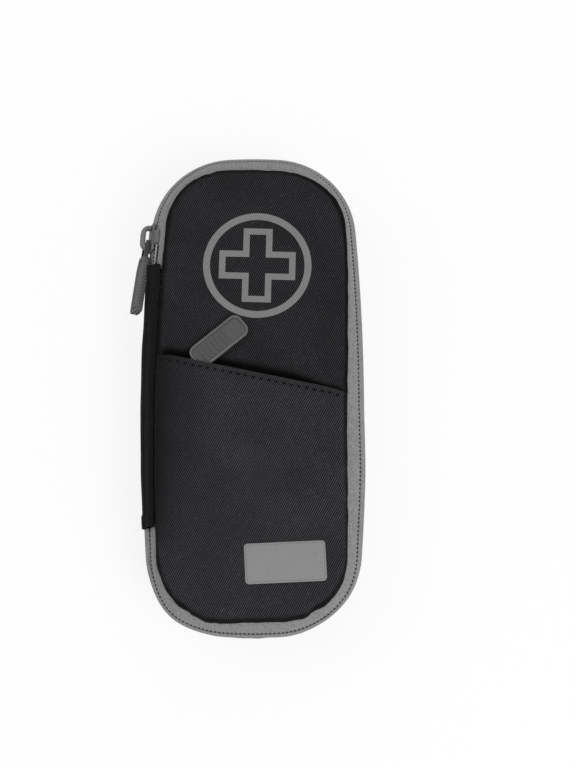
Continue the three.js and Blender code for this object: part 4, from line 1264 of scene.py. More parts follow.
@dataclass(frozen=True)
class Net(Finish):
    """Open net of fine cords."""

    cord: Colour = grey(0.03)
    worn: Colour = grey(0.06)
    pitch: float = 2.2
    width: float = 0.42

    def material(self) -> Material:
        """Material of the net, clear in its holes.

        Returns:
            The material.
        """
        material, board, shader, place = self.open()
        near = board.sum("MINIMUM", *self.diamonds(board, place, self.pitch))
        grain = self.use(board, EFFECTS.grain, place, Size=0.3)
        colour = board.blend(grain.outputs["Tone"], self.cord, self.worn)
        self.feed(board, shader, colour, board.span(grain.outputs["Tone"], 0.7, 0.9))
        alpha = board.sum("LESS_THAN", near, self.width)
        board.tree.links.new(alpha, shader.inputs["Alpha"])
        self.emboss(board, shader, board.sum("SUBTRACT", 1.0, near), 0.3, 0.6)
        return material


@dataclass(frozen=True)
class ClearFilm(Finish):
    """Clear or tinted plastic film with a faint waviness."""

    tint: Colour = (0.92, 0.94, 0.95, 1.0)
    rough: float = 0.12
    clear: float = 0.0
    wave: float = 60.0
    alpha: Optional[tuple[float, float]] = None

    def material(self) -> Material:
        """Material of the film.

        Returns:
            The material.
        """
        material, board, shader, place = self.open()
        slow = board.clouds(place, self.wave, 3.0)
        deep = tuple(value * 0.86 for value in self.tint[:3]) + (1.0,)
        colour = board.blend(slow, deep, self.tint)
        self.feed(board, shader, colour, board.span(slow, self.rough * 0.6, self.rough * 1.6))
        self.emboss(board, shader, slow, 0.4, 0.35)
        # Where alpha is set, slow noise makes the pale film partly opaque in patches: partly real haze, partly painted
        # sheen and highlights.
        if self.alpha:
            board.tree.links.new(board.span(slow, *self.alpha), shader.inputs["Alpha"])
        self.fix(shader, {"Transmission Weight": self.clear, "IOR": 1.45})
        return material


class Wardrobe:
    """The finishes of the case."""

    def __init__(self) -> None:
        """Build every material once."""
        self.panel = Twill("panel_twill", grey(0.0035, 1.12), grey(0.0535, 1.1)).material()
        # The pocket's twill is a lighter copy of the panel's: painted light on the pocket, which puffs up into the
        # light.
        self.pocket = Twill("pocket_twill_painted_light", grey(0.0065, 1.12), grey(0.0725, 1.1)).material()
        self.gusset = Twill("gusset_twill", grey(0.004, 1.12), grey(0.042, 1.1), lie=Lie.FLOW).material()
        self.spine = Twill(
            "spine_twill", grey(0.0015, 1.1), grey(0.011, 1.1), pitch=0.6, lie=Lie.FLOW, sheen=0.01, gloss=0.1
        ).material()
        self.ink = Twill("printed_ink", grey(0.16), grey(0.26), depth=0.06, lint=0.1, sheen=0.0).material()
        self.tape = Ribbed("zipper_tape_weave", grey(0.135), grey(0.315), rib=0.75, weft=0.65, depth=0.1).material()
        # Dark tape: the pocket zipper's real tape, and painted shade where it fills the open gap of the main zipper.
        self.dark_tape = Ribbed("dark_tape_weave_and_gap_shade", grey(0.006), grey(0.02)).material()
        self.elastic = Ribbed("strap_elastic", grey(0.008), grey(0.04), rib=1.2, weft=0.8, depth=0.2).material()
        self.coil = Moulded("coil_nylon", grey(0.19), grey(0.27), size=0.3, depth=0.02, rough=0.6).material()
        # A paler copy of the coil nylon: painted highlight on the open teeth.
        self.bright_coil = Moulded("coil_nylon_painted_highlight", grey(0.36), grey(0.5), size=0.3, depth=0.02).material()
        # Near-black nylon: dark hardware on the pocket zipper and pulls, and painted shade on the tub's coil between
        # the lid's turns.
        self.dark_coil = Moulded("dark_coil_nylon_and_gap_shade", grey(0.003), grey(0.01), size=0.3, rough=0.5).material()
        self.metal = Moulded(
            "gunmetal_plate", grey(0.09), grey(0.16), size=0.35, depth=0.015, rough=0.55, metal=0.3
        ).material()
        self.rubber = Moulded("pull_rubber", grey(0.035), grey(0.075), size=0.45, depth=0.08, rough=0.58).material()
        self.tab = Moulded("tab_rubber", grey(0.026), grey(0.07), size=0.45, depth=0.08, rough=0.6).material()
        # A paler copy of the tab's rubber for its raised rim: a painted highlight.
        self.rim_highlight_rubber = Moulded("tab_rim_rubber_painted_highlight", grey(0.05), grey(0.095), size=0.5, depth=0.03, rough=0.5).material()
        self.patch = Moulded("patch_rubber", grey(0.16), grey(0.225), size=0.6, depth=0.02, rough=0.62).material()
        self.thread = Twill("seam_thread", grey(0.001), grey(0.008), pitch=0.4, depth=0.1, lint=0.1).material()
        self.foil = Foil("lining_foil").material()
        self.foil_wall = Foil("wall_foil", lie=Lie.FLOW).material()
        self.net = Net("pocket_net").material()
        # The alpha ranges whiten the vinyl in patches: painted sheen on the pane, painted highlights along the weld and
        # the bead, with some real haze.
        self.vinyl = ClearFilm("clear_vinyl", rough=0.08, alpha=(0.0, 0.08)).material()
        self.weld = ClearFilm("weld_vinyl", rough=0.1, alpha=(0.0, 0.2)).material()
        self.bead = ClearFilm("bead_vinyl", tint=grey(0.85), rough=0.2, alpha=(0.08, 0.32)).material()
        self.gel = ClearFilm("gel_pouch", tint=(0.28, 0.52, 0.74, 1.0), clear=0.45, rough=0.25, wave=90.0).material()
        self.card = Moulded("card_stock", grey(0.68), grey(0.8), size=0.7, depth=0.01, rough=0.55).material()
        self.card_ink = Moulded("card_ink", grey(0.02), grey(0.05), size=0.7, depth=0.01, rough=0.5).material()


WEAR = Wardrobe()


def settle(piece: Piece, finish: Material, body: Optional[str], slot: str, *nodes: str) -> Piece:
    """Dress a piece, hang it on its body and let it stand for CAD nodes.

    Args:
        piece: The piece.
        finish: Its main material, put on where it has none.
        body: The body it rides on, or None, which leaves it on no body.
        slot: The record's material slot; not used.
        nodes: CAD nodes that it replaces.

    Returns:
        The piece.
    """
    if not piece.data.materials:
        piece.data.materials.append(finish)
    if body:
        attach(piece, body)
    if nodes:
        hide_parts(*nodes)
    LOG.info("%s: %d faces", piece.name, len(piece.data.polygons))
    return piece


def stitch_row(name: str, places: Sequence[Matrix], length: float, width: float) -> Piece:
    """Row of stitches from one small rounded bar.

    Args:
        name: Name of the piece.
        places: Where each stitch lies.
        length: Length of a stitch in millimetres.
        width: Width of the thread in millimetres.

    Returns:
        The new piece.
    """
    deselect()
    bpy.ops.mesh.primitive_uv_sphere_add(segments=6, ring_count=5, radius=1.0)
    bar = named(name)
    put(bar, Matrix.Diagonal((length / 2.0 * MM, width / 2.0 * MM, width / 2.6 * MM, 1.0)))
    return strew(name, bar, places)


# The sub-assemblies.


@dataclass
class Tub:
    """Back half: side wall, back panel, lining and pen straps."""

    foot: float = 4.2
    foot_rise: float = 7.0
    shoulder: float = 9.9
    rim: float = 21.5
    wave: float = 0.35
    back: float = 1.5
    back_seam: float = 4.6
    back_roll: float = 2.2
    floor_top: float = 7.7
    floor_held: float = 8.0
    wall_face: float = 7.45
    wall_top: float = 24.4
    strap_half: float = 36.36
    strap_width: float = 24.0
    strap_places: dict[str, float] = field(default_factory=lambda: {"pen_strap_upper": 40.0, "pen_strap_lower": -40.0})
    loop_pitch: float = 22.24
    loop_half: float = 8.62
    loop_rise: float = 14.0
    seat: float = 8.05
    tacks: tuple[float, ...] = (-34.9, -11.12, 11.12, 34.9)
    thread: float = 0.36

    def build(self) -> None:
        """Build and dress every piece of the tub."""
        self.side_wall()
        self.back_panel()
        self.lining()
        self.straps()

    def swell(self, s: float, share: float) -> float:
        """Swell of the side wall at a distance along it and a share of its height."""
        wave = noise.noise(Vector((s / 11.0, share * 2.0, 3.0))) + 0.5 * noise.noise(Vector((s / 4.0, share, 8.0)))
        return self.wave * wave * math.sin(math.pi * share) ** 1.5

    def back_height(self, depth: float) -> float:
        """Height of the back panel at a depth inside its seam."""
        return self.back + 1.4 * (1.0 - roll(depth / self.back_roll))

    def floor_height(self, depth: float) -> float:
        """Height of the floor's padding at a depth inside its edge."""
        return self.floor_top - 0.5 * (1.0 - ease(depth / 3.0))

    def side_wall(self) -> None:
        """Side wall: its foot turns under, and the cloth swells a little between its seams."""
        section: Section = []
        for k in range(11):
            turn = math.pi / 2.0 * k / 10.0
            section.append((self.foot * (1.0 - math.sin(turn)), self.shoulder - self.foot_rise * math.cos(turn)))
        section += [(-0.1, 12.5), (-0.1, 15.5), (0.05, 18.5), (0.3, self.rim)]
        wall = loft("gusset_cloth", OUTLINE.loop(1.8), section, True, self.swell)
        thicken(wall, 1.0)
        smooth(wall)
        settle(wall, WEAR.gusset, "tub", "twill", "gusset")
        rows = [st.frame(0.17, 20.0) for st in OUTLINE.run(0.0, OUTLINE.length(), 2.9)]
        settle(stitch_row("gusset_stitches", rows, 2.0, self.thread), WEAR.thread, "tub", "twill")

    def back_panel(self) -> None:
        """Back panel, rolled under at its seam, with a row of stitches inside it."""
        seam = self.back_seam
        insets = [seam, seam + 0.15, seam + 0.5, seam + 1.1, seam + 2.2, 9.0, 14.0, 20.0, 27.0, 33.0]
        panel = from_bmesh("back_panel_cloth", ringed(insets, self.back_height, down=True))
        thicken(panel, 0.9)
        smooth(panel)
        settle(panel, WEAR.panel, "tub", "twill", "back_panel")
        rows = [st.frame(seam + 2.9, self.back - 0.02) for st in OUTLINE.run(0.0, OUTLINE.length(), 3.1)]
        settle(stitch_row("back_stitches", rows, 2.1, self.thread), WEAR.thread, "tub", "twill")

    def lining(self) -> None:
        """Foam-backed lining of the floor and the walls."""
        insets = [6.9, 7.4, 8.4, 10.0, 13.0, 17.0, 22.0, 27.0, 33.0]
        floor = from_bmesh("floor_padding", ringed(insets, self.floor_height))
        puff(floor, lambda x, y: OUTLINE.inset_of(x, y) < self.floor_held, 1.0, 0.2)
        thicken(floor, 3.6)
        smooth(floor)
        settle(floor, WEAR.foil, "tub", "insulation", "floor_lining", "floor_foam")
        face, top = self.wall_face, self.wall_top
        section = [
            (3.7, 22.4), (3.65, 23.4), (3.95, 24.1), (4.7, top), (6.1, top), (7.0, 24.0), (face, 23.1),
            (face + 0.1, 19.0), (face + 0.15, 15.0), (face + 0.1, 11.0), (face - 0.1, 8.0),
        ]
        wall = loft("wall_padding", OUTLINE.loop(2.4), soften(section, 3), True)
        thicken(wall, 1.6)
        smooth(wall)
        settle(wall, WEAR.foil_wall, "tub", "insulation", "wall_lining", "wall_foam")

    def straps(self) -> None:
        """Elastic straps, each sewn down between three loops."""
        line: Section = [(-self.strap_half, self.seat)]
        for loop in (-1, 0, 1):
            for k in range(29):
                turn = math.pi * (1.0 - k / 28.0)
                x = loop * self.loop_pitch + self.loop_half * math.cos(turn)
                line.append((x, self.seat + self.loop_rise * math.sin(turn) ** 0.85))
        line.append((self.strap_half, self.seat))
        run = distances(line)
        for node, y in self.strap_places.items():
            across = [y - self.strap_width / 2.0 + self.strap_width * k / 6.0 for k in range(7)]
            rows = [[(x * MM, v * MM, z * MM) for v in across] for x, z in line]
            strap = web(f"{node}_elastic", rows, run, [[v - y for v in across]] * len(line))
            thicken(strap, 0.9, 1.0)
            smooth(strap)
            settle(strap, WEAR.elastic, "tub", "elastic", node)
            places = []
            for x in self.tacks:
                for k in range(9):
                    point = Vector((x, y - 10.0 + 2.5 * k, self.seat + 0.95)) * MM
                    places.append(facing(point, Vector((0, 1, 0)), Vector((0, 0, 1))))
            settle(stitch_row(f"{node}_tacks", places, 1.9, 0.4), WEAR.tape, "tub", "elastic")


@dataclass
class MainZipper:
    """Zipper round the case: two tapes, two coils and the bumps of their turns, and the last stretch by the spine."""

    lean: float = 45.0
    inset: float = 2.45
    height: float = 32.65
    gap: float = 0.58
    pitch: float = 1.7
    spine_top: float = 51.0
    sag: float = 1.45
    bulge: float = 0.35
    tape_top: float = 37.9
    open_length: float = 10.6
    tooth: Point = (1.2, 0.45, 0.6)
    tooth_splay: float = 0.65

    def chain(self, station: Station, u: float, v: float) -> tuple[float, float]:
        """Point of the chain, which sags round the foot of the case.

        Args:
            station: Where it is along the outline.
            u: How far out of the chain.
            v: How far across it towards the lid.

        Returns:
            Its inset and height.
        """
        turn = math.radians(self.lean)
        v -= self.sag * ease((-station.y - 58.0) / 36.0)
        out = u * math.cos(turn) - v * math.sin(turn) + 0.9 * self.belly(station)
        return (self.inset - out, self.height + u * math.sin(turn) + v * math.cos(turn))

    @staticmethod
    def belly(station: Station) -> float:
        """How far the zipper bellies out along the lower part of the free side and at the spine's foot.

        Args:
            station: Where it is along the outline.

        Returns:
            The distance in millimetres.
        """
        if station.x < 0.0:
            bearing = math.degrees(math.atan2(station.y, station.x))
            return 1.75 * math.exp(-(((bearing + 109.5) / 6.5) ** 2))
        return ease((-station.y - 4.0) / 36.0) * (1.0 - ease((-station.y - 80.0) / 18.0))

    def on_tape(self, station: Station, share: float, out: float = 0.0) -> tuple[float, float]:
        """Point over the lid's tape.

        Args:
            station: Where it is along the outline.
            share: Share of the way from the parting to the front panel.
            out: How far it stands off the tape.

        Returns:
            Its inset and height.
        """
        first, last = self.chain(station, 0.0, self.gap), (SEAM.inset(station.x, station.y) - 0.1, self.tape_top)
        bulge = self.bulge * math.sin(math.pi * share) + 0.7 * out
        return (first[0] + (last[0] - first[0]) * share - bulge, first[1] + (last[1] - first[1]) * share + bulge)

    def front_section(self, station: Station) -> Section:
        """Outer face of the lid's tape, from the parting to under the front panel.

        Args:
            station: Where the section is.

        Returns:
            Its points.
        """
        seam = SEAM.inset(station.x, station.y)
        face = [self.on_tape(station, k / 8.0) for k in range(9)]
        return [self.chain(station, -0.25, self.gap - 0.1), *face, (seam + 0.8, 38.2), (seam + 5.2, 38.2)]

    def rear_section(self, station: Station) -> Section:
        """Outer face of the tub's tape, from inside the side wall to the parting.

        Args:
            station: Where the section is.

        Returns:
            Its points.
        """
        out = 0.85 * self.belly(station)
        line = [(1.6, 19.2), (1.5, 21.8), (0.45 - out, 24.6), (-out, 27.0), (0.2 - out, 29.0), (0.6 - out, 30.1)]
        line.append(self.chain(station, 0.0, -self.gap))
        return [*soften(line, 3), self.chain(station, -0.25, 0.1 - self.gap)]

    def build(self) -> None:
        """Build and dress the tapes, the coils, the bumps and the open stretch."""
        start = OUTLINE.spine_side(OUTLINE.spine_foot) + 0.3
        stop = OUTLINE.spine_side(self.spine_top) + 1.5
        end = OUTLINE.corner_distance(OUTLINE.zipper_end)
        self.tape("rear_tape_weave", start, stop, self.rear_section, "tub", "rear_zipper_tape")
        self.tape("front_tape_weave", start, end, self.front_section, "lid", "front_zipper_tape")
        self.tape("end_tape_weave", end + 0.02, stop, self.front_section, "lid", "zipper_end_tape")
        self.coil("rear_coil_turns", start, stop, -1, "tub", "rear_zipper_coil")
        self.coil("front_coil_turns", start, end, 1, "lid", "front_zipper_coil")
        self.coil("end_coil_turns", end + 0.02, stop, 1, "lid", "zipper_end_coil")
        self.bumps(start, end)
        self.open_teeth(stop)

    def tape(
        self, name: str, start: float, stop: float, section: Callable[[Station], Section], body: str, node: str
    ) -> None:
        """One woven tape.

        Args:
            name: Name of the piece.
            start: Where it begins along the outline.
            stop: Where it ends.
            section: Its outer face at a station.
            body: The body it rides on.
            node: The CAD node it replaces.
        """
        tape = loft(name, OUTLINE.run(start, stop, 1.4), section)
        thicken(tape, 0.4)
        smooth(tape)
        settle(tape, WEAR.tape, body, "zipper_tape", node)

    def places(self, start: float, stop: float, side: int, u: float, v: float) -> list[Matrix]:
        """Frames of one side's turns: X along the outline, Y across the chain, Z out of it.

        Args:
            start: Where they begin along the outline.
            stop: Where they end.
            side: 1 for the lid's side, -1 for the tub's, half a pitch apart.
            u: How far out of the chain.
            v: How far across it towards the lid.

        Returns:
            A frame for each turn.
        """
        lean = spin(self.lean, "X") @ spin(90.0, "X")
        frames = []
        for k in range(int(start / self.pitch), int(stop / self.pitch) + 1):
            s = self.pitch * (k + (0.0 if side > 0 else 0.5))
            if start + 0.6 < s < stop - 0.6:
                station = OUTLINE.station(s)
                frames.append(station.frame(*self.chain(station, u, v)) @ lean)
        return frames

    def coil(self, name: str, start: float, stop: float, side: int, body: str, node: str) -> None:
        """One side of the coil: a rounded turn at each pitch, whose head reaches between its neighbours.

        Args:
            name: Name of the piece.
            start: Where it begins along the outline.
            stop: Where it ends.
            side: 1 for the lid's side, -1 for the tub's.
            body: The body it rides on.
            node: The CAD node it replaces.
        """
        long, u, v = (3.0, -0.9, 1.05) if side > 0 else (1.8, -1.2, -0.5)
        pattern = slab(name, (0.82, long, 1.4), 0.36, 0.0, 2)
        coil = strew(name, pattern, self.places(start, stop, side, u, v))
        # The tub's turns are near-black: painted shade, seen as dark dots in the gaps between the lid's turns.
        settle(coil, WEAR.coil if side > 0 else WEAR.dark_coil, body, "zipper_coil", node)

    def bumps(self, start: float, stop: float) -> None:
        """Bumps that the turns press into the lid's tape beside the parting, on a stretch of the outline."""
        places = [place @ spin(90.0, "Z") for place in self.places(start, stop, 1, -0.1, 1.2)]
        settle(stitch_row("front_tape_bumps", places, 1.4, 0.95), WEAR.coil, "lid", "zipper_tape")

    def open_teeth(self, stop: float) -> None:
        """Dark sheet of painted shade for the gap, and teeth in a paler copy of the coil nylon as a painted highlight,
        where the zipper stands open between the slider and the spine.

        Args:
            stop: Where the zipper ends along the outline.
        """
        stations = OUTLINE.run(stop - self.open_length, stop - 0.8, 1.4)
        # A dark sheet laid over the tape: painted shade standing for the open gap.
        dark = loft("open_gap_painted_shade", stations, lambda station: [self.on_tape(station, 0.1 * k, 0.2) for k in range(6)])
        thicken(dark, 0.3)
        settle(dark, WEAR.dark_tape, "lid", "zipper_tape")
        pattern = slab("open_teeth", self.tooth, 0.2, 0.0, 2)
        places = []
        for k in range(6):
            station = OUTLINE.station(stop - 1.9 - self.pitch * k)
            middle = station.frame(*self.on_tape(station, 0.26, 0.3)) @ spin(-self.lean, "X")
            for side in (-1.0, 1.0):
                turn = shift(0.0, side * 0.45, 0.0) @ Matrix.Rotation(side * self.tooth_splay, 4, "Z")
                places.append(middle @ spin(90.0, "Z") @ turn)
        # The open teeth take the paler coil nylon, a painted highlight.
        settle(strew("open_teeth", pattern, places), WEAR.bright_coil, "lid", "zipper_coil")


@dataclass
class Spine:
    """Cloth spine along the hinge side, left on no body."""

    fold: float = 4.5
    top: float = 51.0
    hem: float = 0.45
    wave: float = 0.3

    def section(self, station: Station) -> Section:
        """Outer face of the spine, up to its lip beside the front panel.

        Args:
            station: Where the section is.

        Returns:
            Its points.
        """
        lip = SEAM.inset(station.x, station.y) - 0.25
        line = [
            (0.5, 21.8), (0.0, 23.4), (-0.3, 26.0), (-0.35, 29.0), (-0.25, 32.0), (0.25, 34.4), (0.17 * lip, 35.7),
            (0.28 * lip, 36.1), (0.38 * lip, 36.9), (0.56 * lip, 38.3), (0.78 * lip, 39.1), (lip, 39.2),
        ]
        return soften(line, 3)

    def build(self) -> None:
        """Build the spine with its folded ends."""
        start = OUTLINE.spine_side(self.top)
        stop = OUTLINE.length() + OUTLINE.spine_side(OUTLINE.spine_foot)

        def swell(s: float, share: float) -> float:
            """Swell of the cloth, with a thicker fold at each end.

            Args:
                s: Distance along the outline.
                share: Share of the way across the spine.

            Returns:
                The swell in millimetres.
            """
            hem = self.hem * (1.0 - ease((min(s - start, stop - s) - self.fold) / 0.5))
            wave = noise.noise(Vector((s / 16.0, share * 3.0, 5.0)))
            return hem + self.wave * wave * math.sin(math.pi * share)

        spine = loft("spine_cloth", OUTLINE.run(start, stop, 1.1), self.section, False, swell)
        thicken(spine, 1.2)
        bevel(spine, 0.3, 50.0)
        smooth(spine, 50.0)
        settle(spine, WEAR.spine, None, "spine_cloth", "spine")
        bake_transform(spine)


@dataclass
class LidFront:
    """Front of the lid: padded panel, printed sign, slanted pocket, its stitches and its patch."""

    top: float = 41.2
    mouth_drop: float = 3.0
    sign_place: tuple[float, float] = (1.65, 49.3)
    sign_turn: float = -1.5
    ring: float = 22.15
    arm: float = 5.95
    reach: float = 15.6
    stroke: float = 2.6
    hem_lift: float = 2.9
    hem_end: float = 8.5
    stitch_start: float = 2.9
    stitch_pitch: float = 3.1
    stitch_below: float = 2.1
    patch_size: Point = (31.8, 15.7, 0.7)
    patch_place: tuple[float, float] = (12.8, -71.1)
    patch_turn: float = 2.8

    def build(self) -> None:
        """Build and dress the front."""
        panel = self.panel()
        self.sign(panel)
        pocket = self.pocket()
        self.hem_stitches(pocket)
        self.patch(pocket)

    def panel_height(self, depth: float) -> float:
        """Height of the panel at a depth inside its seam: a rolled edge and a low crown."""
        return self.top - 2.1 + 2.1 * roll(depth / 3.4) + 0.35 * ease(depth / 26.0)

    def pocket_height(self, depth: float) -> float:
        """Height of the pocket at a depth inside its edge: a rolled edge and a low crown."""
        return self.top - 0.9 + 2.6 * roll(depth / 4.0) + 0.3 * ease(depth / 24.0)

    @staticmethod
    def mouth(x: float, y: float) -> float:
        """Share from 0 to 1 by which the panel falls away towards the pocket's mouth."""
        wide = 1.0 - 0.62 * ease((HEM.along(x, y) - 54.0) / 14.0)
        return ease((HEM.below(x, y) + 6.0 * wide) / (5.4 * wide)) * ease((SEAM.depth(x, y) - 0.8) / 4.0)

    def hem_rise(self, x: float, y: float) -> float:
        """Extra height near the hem: it stands off the panel, and its stitches pucker the cloth.

        Args:
            x: Place in millimetres.
            y: Place in millimetres.

        Returns:
            The rise in millimetres.
        """
        along, below = HEM.along(x, y), HEM.below(x, y)
        ends = ease(along / self.hem_end) * ease((HEM.span - along) / self.hem_end)
        lift = self.hem_lift * ends * ease(1.0 - (below - 11.0) / 18.0)
        beat = math.sin(along / self.stitch_pitch * 2.0 * math.pi)
        pucker = 0.14 * beat * math.exp(-((below - 2.6) / 1.3) ** 2)
        sag = 0.6 * noise.noise(Vector((along / 9.0, below / 8.0, 1.7))) * math.exp(-((below - 7.0) / 6.0) ** 2)
        groove = 0.34 * math.exp(-((below - self.stitch_below) / 0.6) ** 2)
        return lift + pucker + sag * ends - groove

    def panel_shade(self, x: float, y: float) -> float:
        """Painted shade of the panel at its seam, and painted shadow in the pocket's mouth under the hem's lip."""
        return max(SEAM.shade(x, y), 0.95 * ease(self.mouth(x, y) * 1.5))

    def pocket_shade(self, x: float, y: float) -> float:
        """Painted shade of the pocket at its seam, in the groove along its stitches and on its left flank, which slopes
        away from the light.

        Args:
            x: Place in millimetres.
            y: Place in millimetres.

        Returns:
            The darkness from 0 to 1.
        """
        beat = 0.5 + 0.5 * math.cos((HEM.along(x, y) - self.stitch_start) / self.stitch_pitch * 2.0 * math.pi)
        # fold is painted shade in the groove along the stitches, darkest at each stitch; flank is painted shade on the
        # left flank, which slopes away from the light.
        fold = (0.05 + 0.95 * beat ** 3) * math.exp(-(((HEM.below(x, y) - self.stitch_below) / 0.6) ** 2))
        flank = ease(-x / 22.0) * ease((y + 82.0) / 45.0) * math.exp(-max(SEAM.depth(x, y), 0.0) / 10.0)
        return max(SEAM.shade(x, y), fold, flank)

    def panel(self) -> Piece:
        """Padded panel of the lid.

        Returns:
            The panel.
        """
        steps = (0.0, 0.08, 0.3, 0.8, 1.6, 2.5, 3.4, 5.5, 8.0, 10.5, 13.5, 16.5, 19.5, 22.5, 25.6)
        sheet = ringed([SEAM.nominal + step for step in steps], self.panel_height, 2.2, seam=SEAM)
        turn = math.radians(HEM.angle)
        for below in (-7.4, -6.2, -5.2, -4.2, -3.2, -2.4, -1.6, -0.8, 0.3, 1.4):
            cut_line(sheet, HEM.point(0.0, below), (math.sin(turn), -math.cos(turn)), False)
        for vertex in sheet.verts:
            vertex.co.z -= self.mouth_drop * MM * self.mouth(vertex.co.x / MM, vertex.co.y / MM)
        panel = from_bmesh("front_panel_pad", sheet)
        puff(panel, lambda x, y: SEAM.depth(x, y) < 3.0 or HEM.below(x, y) > -6.2, 2.0, 0.5)
        thicken(panel, 1.0)
        smooth(panel, 55.0)
        # Painted shade at the seam and painted shadow in the pocket's mouth.
        paint(panel, self.panel_shade)
        settle(panel, WEAR.panel, "lid", "twill", "front_panel")
        return panel

    def cross(self) -> Piece:
        """Outlined cross, flat about the origin.

        Returns:
            The cross.
        """
        points = []
        for narrow in (0.0, self.stroke):
            arm, reach = self.arm - narrow, self.reach - narrow
            for quarter in range(4):
                turn = -quarter * math.pi / 2.0
                for x, y in ((arm, reach), (arm, arm), (reach, arm)):
                    u, v = x * math.cos(turn) - y * math.sin(turn), x * math.sin(turn) + y * math.cos(turn)
                    points.append((u * MM, v * MM, 0.0))
        count = len(points) // 2
        faces = [(k, count + k, count + (k + 1) % count, (k + 1) % count) for k in range(count)]
        mesh = bpy.data.meshes.new("sign_cross_print")
        mesh.from_pydata(points, [], faces)
        cross = link("sign_cross_print", mesh)
        edit(cross)
        bpy.ops.mesh.select_all(action="SELECT")
        bpy.ops.mesh.subdivide(number_cuts=5)
        close_edit()
        return cross

    def sign(self, panel: Piece) -> None:
        """Printed ring and outlined cross, laid on the panel.

        Args:
            panel: The panel that carries them.
        """
        tree = surface(panel)
        place = shift(*self.sign_place, 60.0) @ spin(self.sign_turn, "Z")
        deselect()
        bpy.ops.mesh.primitive_circle_add(vertices=144, radius=self.ring * MM, fill_type="NOTHING")
        ring = named("sign_ring_print")
        edit(ring)
        bpy.ops.mesh.select_all(action="SELECT")
        for share in (0.936, 0.9315):
            bpy.ops.mesh.extrude_edges_move()
            bpy.ops.transform.resize(value=(share, share, 1.0), center_override=(0.0, 0.0, 0.0))
        close_edit()
        for piece, node in ((ring, "emblem_ring"), (self.cross(), "emblem_cross")):
            edit(piece)
            bpy.ops.mesh.select_all(action="SELECT")
            bpy.ops.mesh.normals_make_consistent(inside=False)
            close_edit()
            put(piece, place)
            for vertex in piece.data.vertices:
                hit, _ = drop(tree, vertex.co.x / MM, vertex.co.y / MM)
                vertex.co.z = hit.z + 0.1 * MM
            if piece.data.polygons[0].normal.z < 0.0:
                piece.data.flip_normals()
            thicken(piece, 0.16)
            smooth(piece)
            settle(piece, WEAR.ink, "lid", "print", node)

    def pocket(self) -> Piece:
        """Slanted pocket with a folded hem.

        Returns:
            The pocket.
        """
        edge = SEAM.nominal + 0.3
        steps = (0.0, 0.1, 0.4, 1.0, 1.9, 2.9, 4.0, 6.0, 8.5, 11.0, 13.5, 16.0, 18.5, 21.5, 25.3)
        sheet = ringed([edge + step for step in steps], self.pocket_height, 2.0, seam=SEAM)
        turn = math.radians(HEM.angle)
        up = (-math.sin(turn), math.cos(turn))
        cut_line(sheet, HEM.point(0.0, 0.0), up, True)
        for below in (0.35, 0.8, 1.3, 1.7, 2.1, 2.5, 3.0, 3.8, 5.0, 6.5, 8.0, 9.5, *range(11, 23, 2), 24.0, 27.0):
            cut_line(sheet, HEM.point(0.0, below), up, False)
        for k in range(1, 52):
            cut_line(sheet, HEM.point(1.55 * k - 0.8, 0.0), (math.cos(turn), math.sin(turn)), False)
        for vertex in sheet.verts:
            vertex.co.z += self.hem_rise(vertex.co.x / MM, vertex.co.y / MM) * MM
        bmesh.ops.triangulate(sheet, faces=[face for face in sheet.faces if len(face.verts) > 4])
        pocket = from_bmesh("front_pocket_cloth", sheet)
        puff(pocket, lambda x, y: SEAM.depth(x, y) < 3.8 or HEM.below(x, y) < 12.0, 2.0, 0.6)
        thicken(pocket, 1.0)
        bevel(pocket, 0.38, 60.0, 3)
        smooth(pocket, 60.0)
        # Painted shade at the seam, along the stitches and on the left flank.
        paint(pocket, self.pocket_shade)
        settle(pocket, WEAR.pocket, "lid", "twill", "front_pocket")
        return pocket

    def hem_stitches(self, pocket: Piece) -> None:
        """Row of stitches that holds the folded hem.

        Args:
            pocket: The pocket they are sewn through.
        """
        tree = surface(pocket)
        turn = math.radians(HEM.angle)
        along = Vector((math.cos(turn), math.sin(turn), 0.0))
        places = []
        for k in range(24):
            hit, normal = drop(tree, *HEM.point(self.stitch_start + self.stitch_pitch * k, self.stitch_below))
            places.append(facing(hit, along - normal * along.dot(normal), normal))
        settle(stitch_row("hem_stitches", places, 1.5, 0.9), WEAR.thread, "lid", "twill")

    def patch(self, pocket: Piece) -> None:
        """Bare rubber patch with a fine sunk line inside its rim.

        Args:
            pocket: The pocket that carries it.
        """
        tree = surface(pocket)
        patch = slab("pocket_patch", self.patch_size, 1.5, 0.18)
        sheet = edit(patch, "FACE")
        choose(patch, sheet, lambda face: face.normal.z > 0.9 and face.calc_area() > 1e-4)
        for wide, depth in ((0.45, 0.0), (0.12, -0.12), (0.12, 0.12)):
            bpy.ops.mesh.inset(thickness=wide * MM, depth=depth * MM)
        for k in range(-6, 7):
            slice_at((k * 2.4, 0.0, 0.0), (1.0, 0.0, 0.0))
        close_edit()
        base, _ = drop(tree, *self.patch_place)
        put(patch, Matrix.Translation(base) @ spin(self.patch_turn, "Z"))
        for vertex in patch.data.vertices:
            under, _ = drop(tree, vertex.co.x / MM, vertex.co.y / MM)
            vertex.co.z += under.z - base.z + 0.3 * MM
        smooth(patch, 30.0)
        settle(patch, WEAR.patch, "lid", "rubber", "badge_patch")


